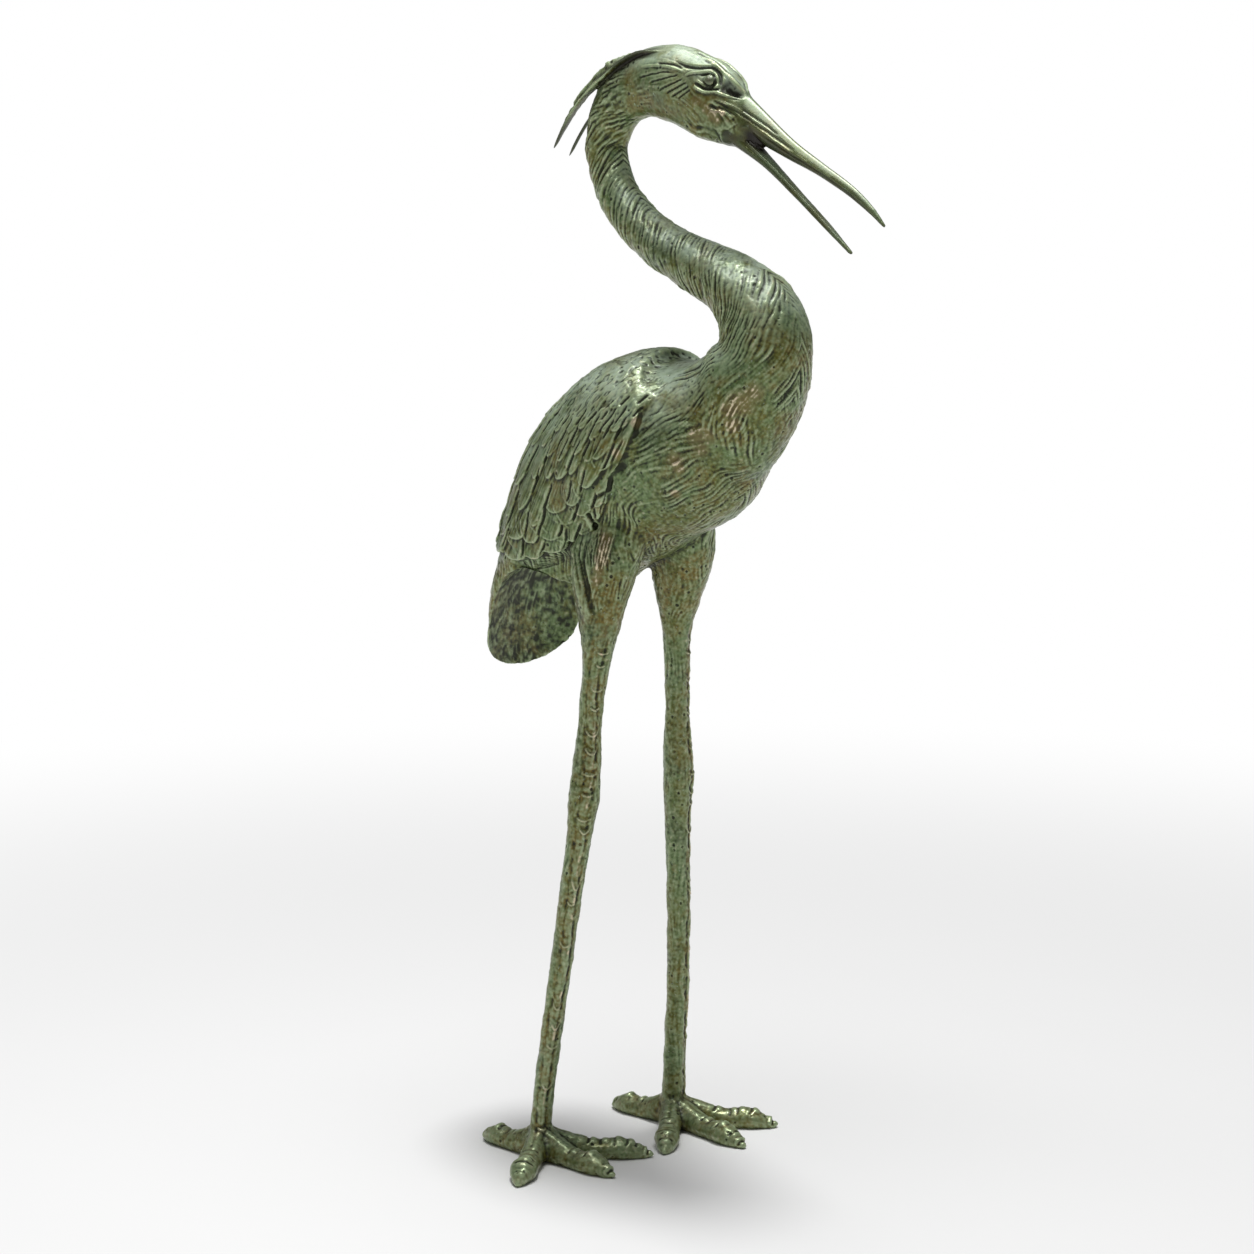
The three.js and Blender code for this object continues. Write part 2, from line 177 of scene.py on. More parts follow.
# Thighs, shins and feet
# Bronze legs cast in one with the trunk, modelled over stiff wires: a feathered thigh, a thin shin with a
# knobbly joint, and four toes. The right foot stands a little behind the left.
RIGHT_LEG = [
    [48, -26, 704, 22, 30], [44, -39, 659, 31, 42], [41, -50, 615, 30, 37], [40, -56, 575, 24, 28],
    [40, -59, 535, 16, 18], [37, -61, 502, 13, 13.5], [32, -63, 452, 12, 12.5], [29, -65.5, 405, 14, 15.5],
    [27, -67, 377, 15, 16.5], [23, -69, 342, 12.5, 13.5], [12, -73, 267, 11.5, 12], [0, -77, 184, 11, 11.5],
    [-11, -81, 107, 11, 11.2], [-19, -84, 41, 11, 11], [-21, -85, 12, 14, 14],
]
LEFT_LEG = [
    [48, 26, 704, 22, 30], [48, 40, 657, 31, 44], [46, 51, 617, 30, 38], [39, 57, 577, 23, 27],
    [34, 59, 535, 14.5, 15.5], [32, 61, 497, 12.5, 13], [30, 64, 447, 12, 12.5], [29, 66, 399, 14.5, 16],
    [28, 67.5, 369, 14.5, 15.5], [25, 70, 324, 12.5, 13], [23, 74, 242, 12, 12.2], [18, 78, 157, 11.5, 11.6],
    [12, 81, 97, 11.5, 11.5], [7, 84, 41, 12, 12], [5, 85, 12, 15, 15],
]
LEG_SIDES = ((RIGHT_LEG, False), (LEFT_LEG, True))
# headings in degrees and reach of the right foot's toes, then of the left foot's
TOES = [
    [[-57, 93], [5, 101], [44, 117], [181, 82]],
    [[-51, 101], [-3, 110], [38, 112], [184, 84]],
]
# share of the reach, then height, half width and half depth
TOE_ROWS = [
    [0, 17, 12.5, 19], [0.28, 11, 12.5, 13.5], [0.52, 8, 12, 10.5], [0.72, 9, 13.5, 11.8], [0.9, 5, 8.5, 7],
    [1, 3, 3, 2.8],
]
leg_pieces = []
toe_lines = []
for leg_rows, is_left in LEG_SIDES:
    leg_pieces.append(cast("leg", rings_along(leg_rows, oval(32), 260, domes=(0, 0.5))))
    ankle_x, ankle_y = leg_rows[-1][:2]
    for heading, reach in TOES[is_left]:
        way = np.array([math.cos(math.radians(heading)), math.sin(math.radians(heading)), 0.0])
        toe_side = np.cross(UP, way)
        toe_rows = [[ankle_x + way[0] * reach * share, ankle_y + way[1] * reach * share, z, wide, deep]
                    for share, z, wide, deep in TOE_ROWS]
        toe_lines.append((toe_rows, toe_side))
        leg_pieces.append(cast("toe", rings_along(toe_rows, oval(24), 60, domes=(0, 0.6), side=toe_side)))

# Run of the wax
# Trunk, neck, head and legs were melted into one another, so their meeting lines are smoothed away
# before any feather is laid on.
WAX_GRAIN = 0.0024
body = joined("body", [trunk, neck, head] + leg_pieces)
finished_with(body, "REMESH", mode="VOXEL", voxel_size=WAX_GRAIN, adaptivity=0)
finished_with(body, "SMOOTH", factor=0.5, iterations=8)

# Folded wings
# Each wing is a thick sheet of wax laid over the flank, with a rolled front edge. Tiers of long tongue
# feathers hang down and back on it, each tier over the one below, and the lowest makes a scalloped hem.
WING_LIFT = 3.6
WING_ROOT = 9
FRONT_SINK = 1.5
# share of the way along the trunk, then the angles round it of the wing's top and lower edges
WING = [
    [0.31, 99, 128], [0.36, 97, 157], [0.41, 97, 182], [0.47, 97, 194], [0.54, 98, 200], [0.62, 99, 203],
    [0.7, 101, 200], [0.78, 106, 192], [0.82, 116, 180], [0.855, 132, 164],
]
# lines over the trunk: shares of the way along it and angles round it
WING_HEM = [
    [0.69, 201], [0.61, 205], [0.54, 203], [0.46, 196], [0.4, 184], [0.345, 160], [0.31, 128],
]
WING_FOLD = [
    [0.79, 121], [0.84, 128], [0.868, 139], [0.864, 152], [0.85, 164], [0.82, 175], [0.79, 183],
    [0.755, 192], [0.7, 198],
]
FOLD_RADII = [0.4, 1.6, 4.6, 6.4, 5.8, 5, 4.2, 3, 1]
FEATHER_FALL = unit(np.array([-0.48, 0, -0.88]))
# a tier's first and last share of the hem, its number of feathers, its height over the hem, and the
# length, width and lift of its feathers
FEATHER_TIERS = [
    (0.17, 0.99, 8, 0, 44, 46, 0.4), (0.17, 0.99, 8, 19, 46, 38, 1.1), (0.13, 0.97, 8, 43, 62, 23, 1.8),
    (0.12, 1, 10, 78, 66, 17, 1.8), (0.2, 1, 10, 112, 50, 15, 1.3), (0.32, 1, 8, 140, 32, 13, 0.7),
]
FEATHER_TIP = 0.6
FEATHER_ROOT_WIDTH = 0.78
FEATHER_SINK = 2.4
FEATHER_SLOPE = 2.1
FEATHER_CROWN = 1.3
# across a feather, its left half tucked under: shares of its half width and of its crown
FEATHER_SECTION = np.array([
    [1, -7], [1.02, 0.2], [0.9, 0.8], [0.55, 1.0], [0.15, 0.85], [0, 0.95], [-0.15, 0.7], [-0.55, 0.1],
    [-0.95, -0.9], [-1, -7],
])
PACE = 3
slots = []
tips = []
feather_spots = []
rng = np.random.default_rng(7)


def on_body(rows, share, turn, side=LEFT):
    """Points, outward normals and slopes of an oval body's surface, at shares and angles in radians."""
    share, turn = np.broadcast_arrays(np.atleast_1d(share).astype(float), np.atleast_1d(turn).astype(float))

    def place(t, a):
        centre, _, across, out, wide, deep = stations(rows, t, side)
        return centre + across * np.cos(a)[:, None] * wide + out * np.sin(a)[:, None] * deep

    step = 1e-3
    per_share = (place(share + step, turn) - place(share - step, turn)) / (2 * step)
    per_turn = (place(share, turn + step) - place(share, turn - step)) / (2 * step)
    return place(share, turn), unit(np.cross(per_turn, per_share)), per_share, per_turn


def drawn(pairs, share, is_left):
    """Shares and angles on a line drawn over a body, mirrored for the left side."""
    pairs = np.asarray(pairs, float)
    turn = np.radians(180 - pairs[:, 1] if is_left else pairs[:, 1])
    spots = line_through(np.stack([pairs[:, 0], turn], 1), share)
    return spots[:, 0], spots[:, 1]


def fall_lines(share, turn, reach):
    """Lines over the trunk against the fall of the feathers, one spot for each pace up to a reach."""
    spots = [(share, turn)]
    for _ in range(math.ceil(reach / PACE)):
        _, normal, per_share, per_turn = on_body(TRUNK, share, turn)
        stride = -PACE * unit(FEATHER_FALL - normal * (normal @ FEATHER_FALL)[:, None])
        share = share + (stride * per_share).sum(1) / (per_share ** 2).sum(1)
        turn = turn + (stride * per_turn).sum(1) / (per_turn ** 2).sum(1)
        spots.append((share, turn))
    return np.array(spots)


def wing_sheet(is_left):
    """The body of a wing, which melts into the back towards its top and its front."""
    steps = np.linspace(0, 1, 81)
    t, top = drawn([[t, top] for t, top, _ in WING], steps, is_left)
    _, bottom = drawn([[t, bottom] for t, _, bottom in WING], steps, is_left)
    # it rises over its top quarter, thins towards the hem, and sinks into the breast in front
    heights = []
    for share in np.linspace(0, 1, 49):
        rise = min(1, share / 0.25) ** 0.7 * (1 - 0.3 * max(0, share - 0.85) / 0.15)
        front = np.clip((t - 0.7) / 0.14, 0, 1) * max(0, 1 - share / 0.5)
        heights.append((share, WING_LIFT * rise * (1 - front) - FRONT_SINK * front))
    heights += [(share, np.full(len(t), -WING_ROOT)) for share in (1, 0.75, 0.5, 0.25, 0)]
    columns = []
    for share, height in heights:
        point, normal, _, _ = on_body(TRUNK, t, top + (bottom - top) * share)
        columns.append(point + normal * height[:, None])
    rings = np.stack(columns, 1)
    return cast("wing", rings[:, ::-1] if is_left else rings)


def tier_of_feathers(tier, is_left):
    """One tier of feathers, each with its own length, width, lean, lift and uneven tip."""
    first, last, count, rise, length, width, lift = tier
    share = np.linspace(first, last, count) + rng.normal(0, 0.012, count)
    rise = rise + rng.normal(0, 6 if rise > 20 else 1.5, count)
    length = length * rng.uniform(0.8, 1.15, count)
    width = width * rng.uniform(0.85, 1.3, count)
    lift = lift * rng.uniform(0.6, 1.5, count)
    lean = rng.normal(0, 0.07, count)
    skew = rng.uniform(-0.5, 0.5, count)
    t, turn = drawn(WING_HEM, np.clip(share, 0, 1), is_left)
    path = fall_lines(t, turn, rise.max() + length.max() + 2 * PACE)
    pieces = []
    for k in range(count):
        rings = []
        for s in np.linspace(0, 1, 27):
            height = rise[k] + length[k] * (1 - s)
            step = max(0, height / PACE)
            i = min(int(step), len(path) - 2)
            spot = path[i, :, k] + (path[i + 1, :, k] - path[i, :, k]) * (step - i)
            point, normal, _, _ = (v[0] for v in on_body(TRUNK, spot[0], spot[1]))
            along = unit(FEATHER_FALL - normal * (FEATHER_FALL @ normal))
            across = np.cross(normal, along)
            point = point + along * max(0, -height)
            tip = max(0, (s - FEATHER_TIP) / (1 - FEATHER_TIP))
            half = width[k] / 2 * (FEATHER_ROOT_WIDTH + (1 - FEATHER_ROOT_WIDTH) * min(1, s / 0.4))
            half *= math.sqrt(max(0.0004, 1 - tip ** 2.1)) * (1 + 0.05 * math.sin(9 * s + 3 * k))
            centre = (point + across * (lean[k] * length[k] * (s - 0.5) + skew[k] * width[k] * 0.3 * tip ** 2)
                      + normal * (WING_LIFT - FEATHER_SINK + (FEATHER_SLOPE + lift[k]) * s ** 0.8))
            rings.append(centre + across * FEATHER_SECTION[:, :1] * half
                         + normal * FEATHER_SECTION[:, 1:] * FEATHER_CROWN)
        rings = np.array(rings)
        pieces.append(cast("feather", rings))
        feather_spots.append(rings[:, 2:9:3].reshape(-1, 3))
        start = rng.integers(2, 9)
        slots.append(rings[start:rng.integers(17, 23), 1])
        tips.extend([rings[-9:, 1], rings[-9:, 8]])
    return pieces


def fold_roll(is_left):
    """The rolled ridge of a wing's folded front edge."""
    share = np.linspace(0, 1, 81)
    point, normal, _, _ = on_body(TRUNK, *drawn(WING_FOLD, share, is_left))
    along = unit(np.gradient(point, axis=0))
    half = line_through(np.array(FOLD_RADII, float)[:, None], share)
    lean = np.radians(np.arange(-40, 221, 20))
    mound = np.stack([np.cos(lean), np.sin(lean)], 1)
    across = np.cross(normal, along)
    rings = (point[:, None] + across[:, None] * mound[None, :, :1] * half[:, None]
             + normal[:, None] * mound[None, :, 1:] * half[:, None])
    return cast("roll", rings)


wing_pieces = []
for is_left in (False, True):
    wing_pieces += [wing_sheet(is_left), fold_roll(is_left)]
    for tier in FEATHER_TIERS:
        wing_pieces += tier_of_feathers(tier, is_left)

# Eyes and open bill
# Round eyes sit under the brows, and the long bill is held open. They were set into the head's wax.
UPPER_BILL = [
    [158, 0, 1060, 15, 15], [195, 0, 1032.5, 11, 14], [232, 0, 1010, 8, 9.5], [269, 0, 991, 6, 6.5],
    [305, 0, 971, 4.5, 5.5], [330, 0, 953, 3, 4], [345, 0, 939, 1.8, 2],
]
LOWER_BILL = [
    [158, 0, 1031, 14, 12], [184, 0, 1013, 10.5, 7.5], [210, 0, 994.5, 6.5, 5], [246, 0, 965.5, 4.5, 3.8],
    [282, 0, 936, 3.6, 3], [307, 0, 915, 2.2, 2],
]
EYE_SPOT = [0.652, 141]
EYE_RADIUS = 6.8
EYE_SUNK = 2.2
MOUTH = [[166, 0, 1046, 9, 14], [180, 0, 1032, 8, 12], [192, 0, 1021, 6, 6], [200, 0, 1014, 4, 2.2]]
BILL_EDGE = 1.35
lozenge = oval(24)
lozenge = np.sign(lozenge) * np.abs(lozenge) ** BILL_EDGE
head_pieces = [
    cast("upper_bill", rings_along(UPPER_BILL, lozenge, 120)),
    cast("lower_bill", rings_along(LOWER_BILL, oval(24), 100)),
    cast("mouth", rings_along(MOUTH, oval(24), 30)),
]
for is_left in (False, True):
    t, turn = drawn([EYE_SPOT, EYE_SPOT], [0], is_left)
    point, normal, _, _ = (v[0] for v in on_body(HEAD, t, turn))
    bpy.ops.mesh.primitive_uv_sphere_add(segments=24, ring_count=16, radius=EYE_RADIUS / 1000,
                                         location=(point - normal * EYE_SUNK - MIDDLE) / 1000)
    bpy.ops.object.transform_apply(location=True)
    head_pieces.append(bpy.context.object)

# Crest
# Two long plumes fall back from the crown, cast in one with the head. Each is a strip of bronze, bowed over
# its width, with blunt edges.
NEAR_PLUME = [
    [88, -8, 1104, 7, 2.6], [48, -10, 1103, 12, 2.2], [9, -12, 1090, 15, 2], [-27, -13, 1066, 13.5, 2],
    [-55, -12, 1038, 8.5, 2], [-70, -12, 1018, 2, 1.6],
]
FAR_PLUME = [
    [60, 10, 1105, 5, 2.4], [22, 12, 1093, 6.5, 2], [-20, 13, 1067, 6.5, 2], [-50, 13, 1041, 4.5, 2],
    [-74, 13, 1011, 2, 1.6],
]
PLUME_THICKNESS = 3.2
PLUME_BOW = 0.4
PLUME_TILT = math.radians(42)
PLUME_NARROW = 6
PLUME_EDGE_THINNING = 0.35


def plume(rows):
    """A strip of even thickness, bowed like a roof tile, that narrows to both ends."""
    shares = np.linspace(0, 1, 90)
    centre, along, across, out, wide, deep = stations(rows, shares)
    u = np.concatenate([np.linspace(-1, 1, 17), np.linspace(1, -1, 17)])
    above = np.concatenate([np.ones(17), -np.ones(17)]) * (1 - PLUME_EDGE_THINNING * np.abs(u) ** 3)
    bend = PLUME_BOW * np.tanh(wide / PLUME_NARROW)
    slope = np.arctan(2 * bend * u)
    ends = np.minimum(shares * 9 + 0.5, (1 - shares) * 9 + 0.35)
    half = PLUME_THICKNESS / 2 * np.clip(ends, 0, 1)[:, None]
    sideways = wide * u - above * half * np.sin(-slope)
    upwards = -bend * wide * (u ** 2 - 0.3) + above * half * np.cos(slope)
    turned = PLUME_TILT * np.clip(shares * 4 - 0.6, 0, 1)[:, None]
    sideways, upwards = (sideways * np.cos(turned) + upwards * np.sin(turned),
                         upwards * np.cos(turned) - sideways * np.sin(turned))
    return cast("plume", centre[:, None] + across[:, None] * sideways[..., None]
                + out[:, None] * upwards[..., None])


head_pieces += [plume(NEAR_PLUME), plume(FAR_PLUME)]
bill_spots = np.concatenate([rings_along(rows, oval(8), 60)[12:].reshape(-1, 3)
                             for rows in (UPPER_BILL, LOWER_BILL)])
plume_spots = np.concatenate([rings_along(rows, oval(6), 60).reshape(-1, 3)
                              for rows in (NEAR_PLUME, FAR_PLUME)])

# Spoon of the tail
# The tail is hollow from below, an open scoop with a thin rim. It was cut out of the wax last.
SCOOP = [
    [-112, 0, 457, 60, 22], [-112, 0, 478, 62, 22], [-110, 0, 502, 66, 24], [-102, 0, 531, 73, 25],
    [-83, 0, 568, 78, 31], [-60, 0, 585, 75, 37], [-26, 0, 595, 55, 30], [2, 0, 595, 26, 14],
]
SKIN_GRAIN = 0.00112
body = joined("heron_casting", [body] + wing_pieces + head_pieces)
finished_with(body, "REMESH", mode="VOXEL", voxel_size=SKIN_GRAIN, adaptivity=0)
scoop = cast("scoop", rings_along(SCOOP, oval(190), 130, domes=(0, 1)))
finished_with(body, "BOOLEAN", operation="DIFFERENCE", object=scoop, solver="MANIFOLD")
bpy.data.objects.remove(scoop)
finished_with(body, "SMOOTH", factor=0.5, iterations=2)

# Chasing
# The fine forms are cut and raised in the skin as a sculptor's loop and comb did in the wax: slits between
# feathers, lids and brow, grooves of the bill, scutes of the legs, rings of the toes, plumage strokes, pits.
count = len(body.data.vertices)
skin, facing = np.empty(count * 3), np.empty(count * 3)
body.data.vertices.foreach_get("co", skin)
body.data.vertices.foreach_get("normal", facing)
skin, facing = skin.reshape(-1, 3) * 1000 + MIDDLE, facing.reshape(-1, 3)
edges = np.empty(len(body.data.edges) * 2, np.int64)
body.data.edges.foreach_get("vertices", edges)
edges = edges.reshape(-1, 2)
valence = np.bincount(edges.ravel(), minlength=count)[:, None]


def spread(values, rounds):
    """Values evened out over neighbouring points of the skin."""
    values = values.reshape(count, -1).astype(float)
    for _ in range(rounds):
        total = np.zeros_like(values)
        for column in range(values.shape[1]):
            total[:, column] = (np.bincount(edges[:, 0], values[edges[:, 1], column], count)
                                + np.bincount(edges[:, 1], values[edges[:, 0], column], count))
        values = values * 0.4 + total / valence * 0.6
    return values


def finder(points):
    """A tree that finds the nearest of some points."""
    spots = kdtree.KDTree(len(points))
    for index, point in enumerate(points):
        spots.insert(point, index)
    spots.balance()
    return spots


def nearness(points, radius, where):
    """How close each point of the skin lies to given points: 1 at them, 0 from a radius on."""
    spots = finder(points)
    closeness = np.zeros(count)
    for index in np.nonzero(where)[0]:
        closeness[index] = max(0.0, 1 - spots.find(skin[index])[2] / radius)
    return closeness


def swell(value, low, high):
    """Eases from 0 to 1 as a value goes from low to high."""
    value = np.clip((value - low) / (high - low), 0, 1)
    return value * value * (3 - 2 * value)


def band(value, low, start, end, high):
    """Eases from 0 to 1 and back as a value passes four levels."""
    return swell(value, low, start) * (1 - swell(value, end, high))


def on_both_sides(rows, pairs, shares):
    """Points of a line drawn over a body, on its right side and on its left."""
    return np.concatenate([on_body(rows, *drawn(pairs, shares, is_left))[0] for is_left in (False, True)])


def put_back(points):
    """Gives the casting its moved points."""
    body.data.vertices.foreach_set("co", ((points - MIDDLE) / 1000).ravel())
    body.data.update()


# the bill, the plumes, the tail's upper lip and the top of each wing's fold are thumbed smooth
x, y, z = skin.T
on_wing = swell(nearness(np.concatenate(feather_spots), 12, (z > 600) & (z < 840) & (x < 125)), 0.1, 0.5)
thin_parts = ((x > 165) & (z > 890)) | ((z > 1000) & (x < -32))
lip = band(z, 545, 568, 606, 622) * swell(-x, 5, 25) * (1 - on_wing)
fold_tops = on_both_sides(TRUNK, [[0.86, 136], [0.875, 142], [0.88, 150]], np.linspace(0, 1, 7))
fold_top = swell(nearness(fold_tops, 26, (z > 730) & (z < 850)), 0.05, 0.6)
slightly, amply = spread(skin, 12), spread(skin, 40)
slightly -= spread(slightly - skin, 12)
evenly = spread(amply, 40)
skin = np.where(thin_parts[:, None], slightly, skin)
skin += (evenly - skin) * lip[:, None]
skin += (amply - skin) * fold_top[:, None]
put_back(skin)
body.data.vertices.foreach_get("normal", facing.reshape(-1))
x, y, z = skin.T
tree = finder(skin)
relief = np.zeros(count)


def settled(path):
    """A path laid on the skin, with its jumps evened out."""
    for _ in range(2):
        path = skin[[tree.find(point)[1] for point in path]]
        padded = np.concatenate([path[:1]] * 4 + [path] + [path[-1:]] * 4)
        path = sum(padded[k:k + len(path)] for k in range(9)) / 9
    return path


def touch(lines, radius, taper=0.15):
    """How firmly a tool of a radius, drawn along lines over the skin, touches each point: from 0 to 1."""
    press = np.zeros(count)
    for line in lines:
        line = np.asarray(line, float)
        steps = max(3, int(np.linalg.norm(np.diff(line, axis=0), axis=1).sum() / min(0.9, radius * 0.4)))
        shares = np.linspace(0, 1, steps + 1)
        for share, point in zip(shares, settled(line_through(line, shares))):
            _, index, _ = tree.find(point)
            point = point + facing[index] * ((skin[index] - point) @ facing[index])
            ease = min(1, (min(share, 1 - share) + 0.02) / taper) if taper else 1
            for _, index, far in tree.find_range(point, radius):
                press[index] = max(press[index], ease * (1 - (far / radius) ** 2) ** 1.5)
    return press


def over(rows, pairs, is_left):
    """A line over a body through pairs of share and angle, as points."""
    return on_body(rows, *drawn(pairs, np.linspace(0, 1, 4 * len(pairs)), is_left))[0]


def stroke(rows, pairs, is_left, radius, taper=0.15):
    """How firmly a tool drawn along one line over a body touches each point."""
    return touch([over(rows, pairs, is_left)], radius, taper)


def shifted(pairs, along, aside):
    """The same line, moved along the body and round it."""
    return [[share + along, angle + aside] for share, angle in pairs]


def grain(points, seed):
    """Smooth random values over space, one swell for each unit of length."""
    table = np.random.default_rng(seed)
    slopes = unit(table.normal(size=(256, 3))).astype(np.float32)
    order = table.permutation(256)
    points = points.astype(np.float32)
    cell = np.floor(points).astype(np.int64)
    local = points - cell
    ease = local * local * local * (local * (local * 6 - 15) + 10)
    value = np.zeros(len(points), np.float32)
    for corner in np.ndindex(2, 2, 2):
        at = (cell + corner) & 255
        pick_slope = order[(order[(order[at[:, 0]] + at[:, 1]) & 255] + at[:, 2]) & 255]
        weight = np.prod(np.where(np.array(corner) == 1, ease, 1 - ease), axis=1)
        value += weight * (slopes[pick_slope] * (local - np.array(corner, np.float32))).sum(1)
    return value * 1.6


# slits between the feathers, raised rims round their tips, barbs along them, and rough scales above
relief -= 2.1 * touch(slots, 2.1, 0.25)
relief += 0.5 * touch(tips, 1.6, 0.1)
fall = -FEATHER_FALL
cross_fall = np.array([fall[2], 0, -fall[0]])
barbs = np.stack([skin @ cross_fall / 2.9, y / 2.9, skin @ fall / 22], 1)
relief += on_wing * 0.42 * grain(barbs, 31)
scales = np.stack([skin @ cross_fall / 7, y / 7, skin @ fall / 13], 1)
shoulder = band(z, 735, 770, 838, 852) * band(x, -60, -20, 85, 108)
relief += shoulder * (0.8 * swell(grain(scales, 32), -0.25, 0.1) - 0.4)

# lids, brow, cheek line, lores and crown of the head, then the grooves and ridges of the bill
# each row: how far the tool raises or cuts, its radius, and its line of shares and angles
HEAD_CUTS = [
    (1.9, 2.2, [[0.5, 155], [0.53, 146], [0.58, 137.5], [0.628, 127], [0.665, 129], [0.69, 136]]),
    (-2.8, 2.8, [[0.395, 141], [0.49, 140], [0.56, 130], [0.6, 119], [0.65, 118], [0.69, 126], [0.705, 135]]),
    (-3.2, 2.2, [[0.575, 144], [0.61, 134], [0.645, 131], [0.68, 138], [0.69, 146], [0.66, 150],
                 [0.62, 148]]),
    (1.3, 1.7, [[0.575, 151], [0.618, 153], [0.652, 152], [0.69, 147], [0.702, 138]]),
    (-2.2, 2.1, [[0.57, 157], [0.62, 157], [0.66, 155.5], [0.7, 149], [0.725, 141]]),
    (2, 2.2, [[0.575, 163], [0.625, 162], [0.67, 160], [0.71, 149], [0.745, 146], [0.79, 138], [0.835, 127],
                [0.865, 116]]),
    (-4.2, 8.5, [[0.72, 131], [0.765, 127], [0.8, 121], [0.83, 116]]),
    (-2.4, 4.5, [[0.75, 129], [0.79, 124], [0.83, 117]]),
    (1.8, 3.4, [[0.5, 112], [0.56, 108], [0.64, 112], [0.7, 110], [0.76, 107], [0.81, 102], [0.85, 100]]),
    (-1, 2.6, [[0.44, 102], [0.52, 101], [0.6, 102], [0.68, 103]]),
    (-2, 3.2, [[0.72, 172], [0.76, 172], [0.8, 165], [0.86, 158], [0.93, 156]]),
    (-1.6, 1.7, [[0.3, 152], [0.4, 147], [0.46, 147]]),
    (1, 2, [[0.2, 158], [0.3, 155], [0.4, 152], [0.49, 150]]),
    (-1.3, 1.5, [[0.36, 190], [0.43, 176], [0.5, 160]]),
    (-1.3, 1.5, [[0.42, 190], [0.48, 176], [0.53, 162]]),
    (-1.3, 1.5, [[0.46, 192], [0.51, 179], [0.555, 165]]),
    (-1.1, 1.4, [[0.51, 190], [0.545, 179], [0.575, 168]]),
    (-1.2, 1.5, [[0.28, 182], [0.37, 172], [0.46, 158]]),
    (-1.2, 1.5, [[0.2, 176], [0.3, 168], [0.42, 158]]),
]
BILL_CUTS = [
    (-2, 2.2, [[0, 205], [0.05, 190], [0.1, 176], [0.18, 168], [0.26, 160], [0.38, 158]]),
    (1.3, 1.6, [[0.03, 187], [0.08, 174], [0.14, 164], [0.2, 158]]),
    (-1.5, 1.6, [[0.1, 160], [0.16, 150], [0.22, 143], [0.28, 140]]),
    (-1.3, 1.8, [[0.2, 186], [0.35, 188], [0.5, 192], [0.65, 198], [0.8, 205]]),
    (0.7, 1.5, [[0.2, 176], [0.35, 177], [0.5, 181], [0.65, 188], [0.8, 196]]),
]
LOWER_CUTS = [
    (-1, 1.5, [[0.15, 160], [0.3, 165], [0.5, 168], [0.7, 170], [0.85, 170]]),
    (0.7, 1.4, [[0.15, 140], [0.3, 145], [0.5, 148], [0.7, 146], [0.9, 145]]),
]
# shadowed hollow and creases at the wing's fold, the hollow of the vent, and a pit above the thigh
TRUNK_CUTS = [
    (-1.5, 11, [[0.893, 158], [0.88, 168], [0.85, 180], [0.815, 189], [0.77, 197], [0.72, 203]], 0.3),
    (-1.8, 2.6, [[0.868, 160], [0.862, 166], [0.852, 171], [0.84, 176]], 0.4),
    (-2.2, 3, [[0.755, 197], [0.735, 200], [0.71, 202], [0.68, 203], [0.655, 205]], 0.4),
    (-4, 17, [[0.36, 200], [0.41, 209], [0.46, 217]], 0),
    (-6, 4.2, [[0.632, 207], [0.622, 211], [0.608, 216]], 0.3),
]
VENT = [0.47, 222]
VENT_STRIPES = [[0.35 + 0.016 * k, 198 + 1.1 * k - 0.04 * k * k] for k in range(14)]
for is_left in (False, True):
    for rows, cuts in (
            (HEAD, HEAD_CUTS), (UPPER_BILL, BILL_CUTS), (LOWER_BILL, LOWER_CUTS), (TRUNK, TRUNK_CUTS)):
        for depth, radius, pairs, *taper in cuts:
            relief += depth * stroke(rows, pairs, is_left, radius, *taper)
    relief -= 0.9 * touch([over(TRUNK, [start, VENT], is_left) for start in VENT_STRIPES], 1.6, 0.4)

# the leaf-like fold behind each thigh, worn strokes on its front, scutes and a front ridge on each shin
THIGH_FLAP = [[0.105, 203], [0.125, 207], [0.145, 208], [0.17, 199], [0.2, 189], [0.235, 176], [0.25, 163]]
SHIN_FRONT = 121
SHIN_WANDER = 7
scutes = []


def shin_front(shares):
    """The line down the front of a shin, which wanders to both sides; a ridge is raised along it and a pale
    painted highlight is laid on it.
    """
    return [[share, SHIN_FRONT + SHIN_WANDER * math.sin(share * 23)] for share in shares]


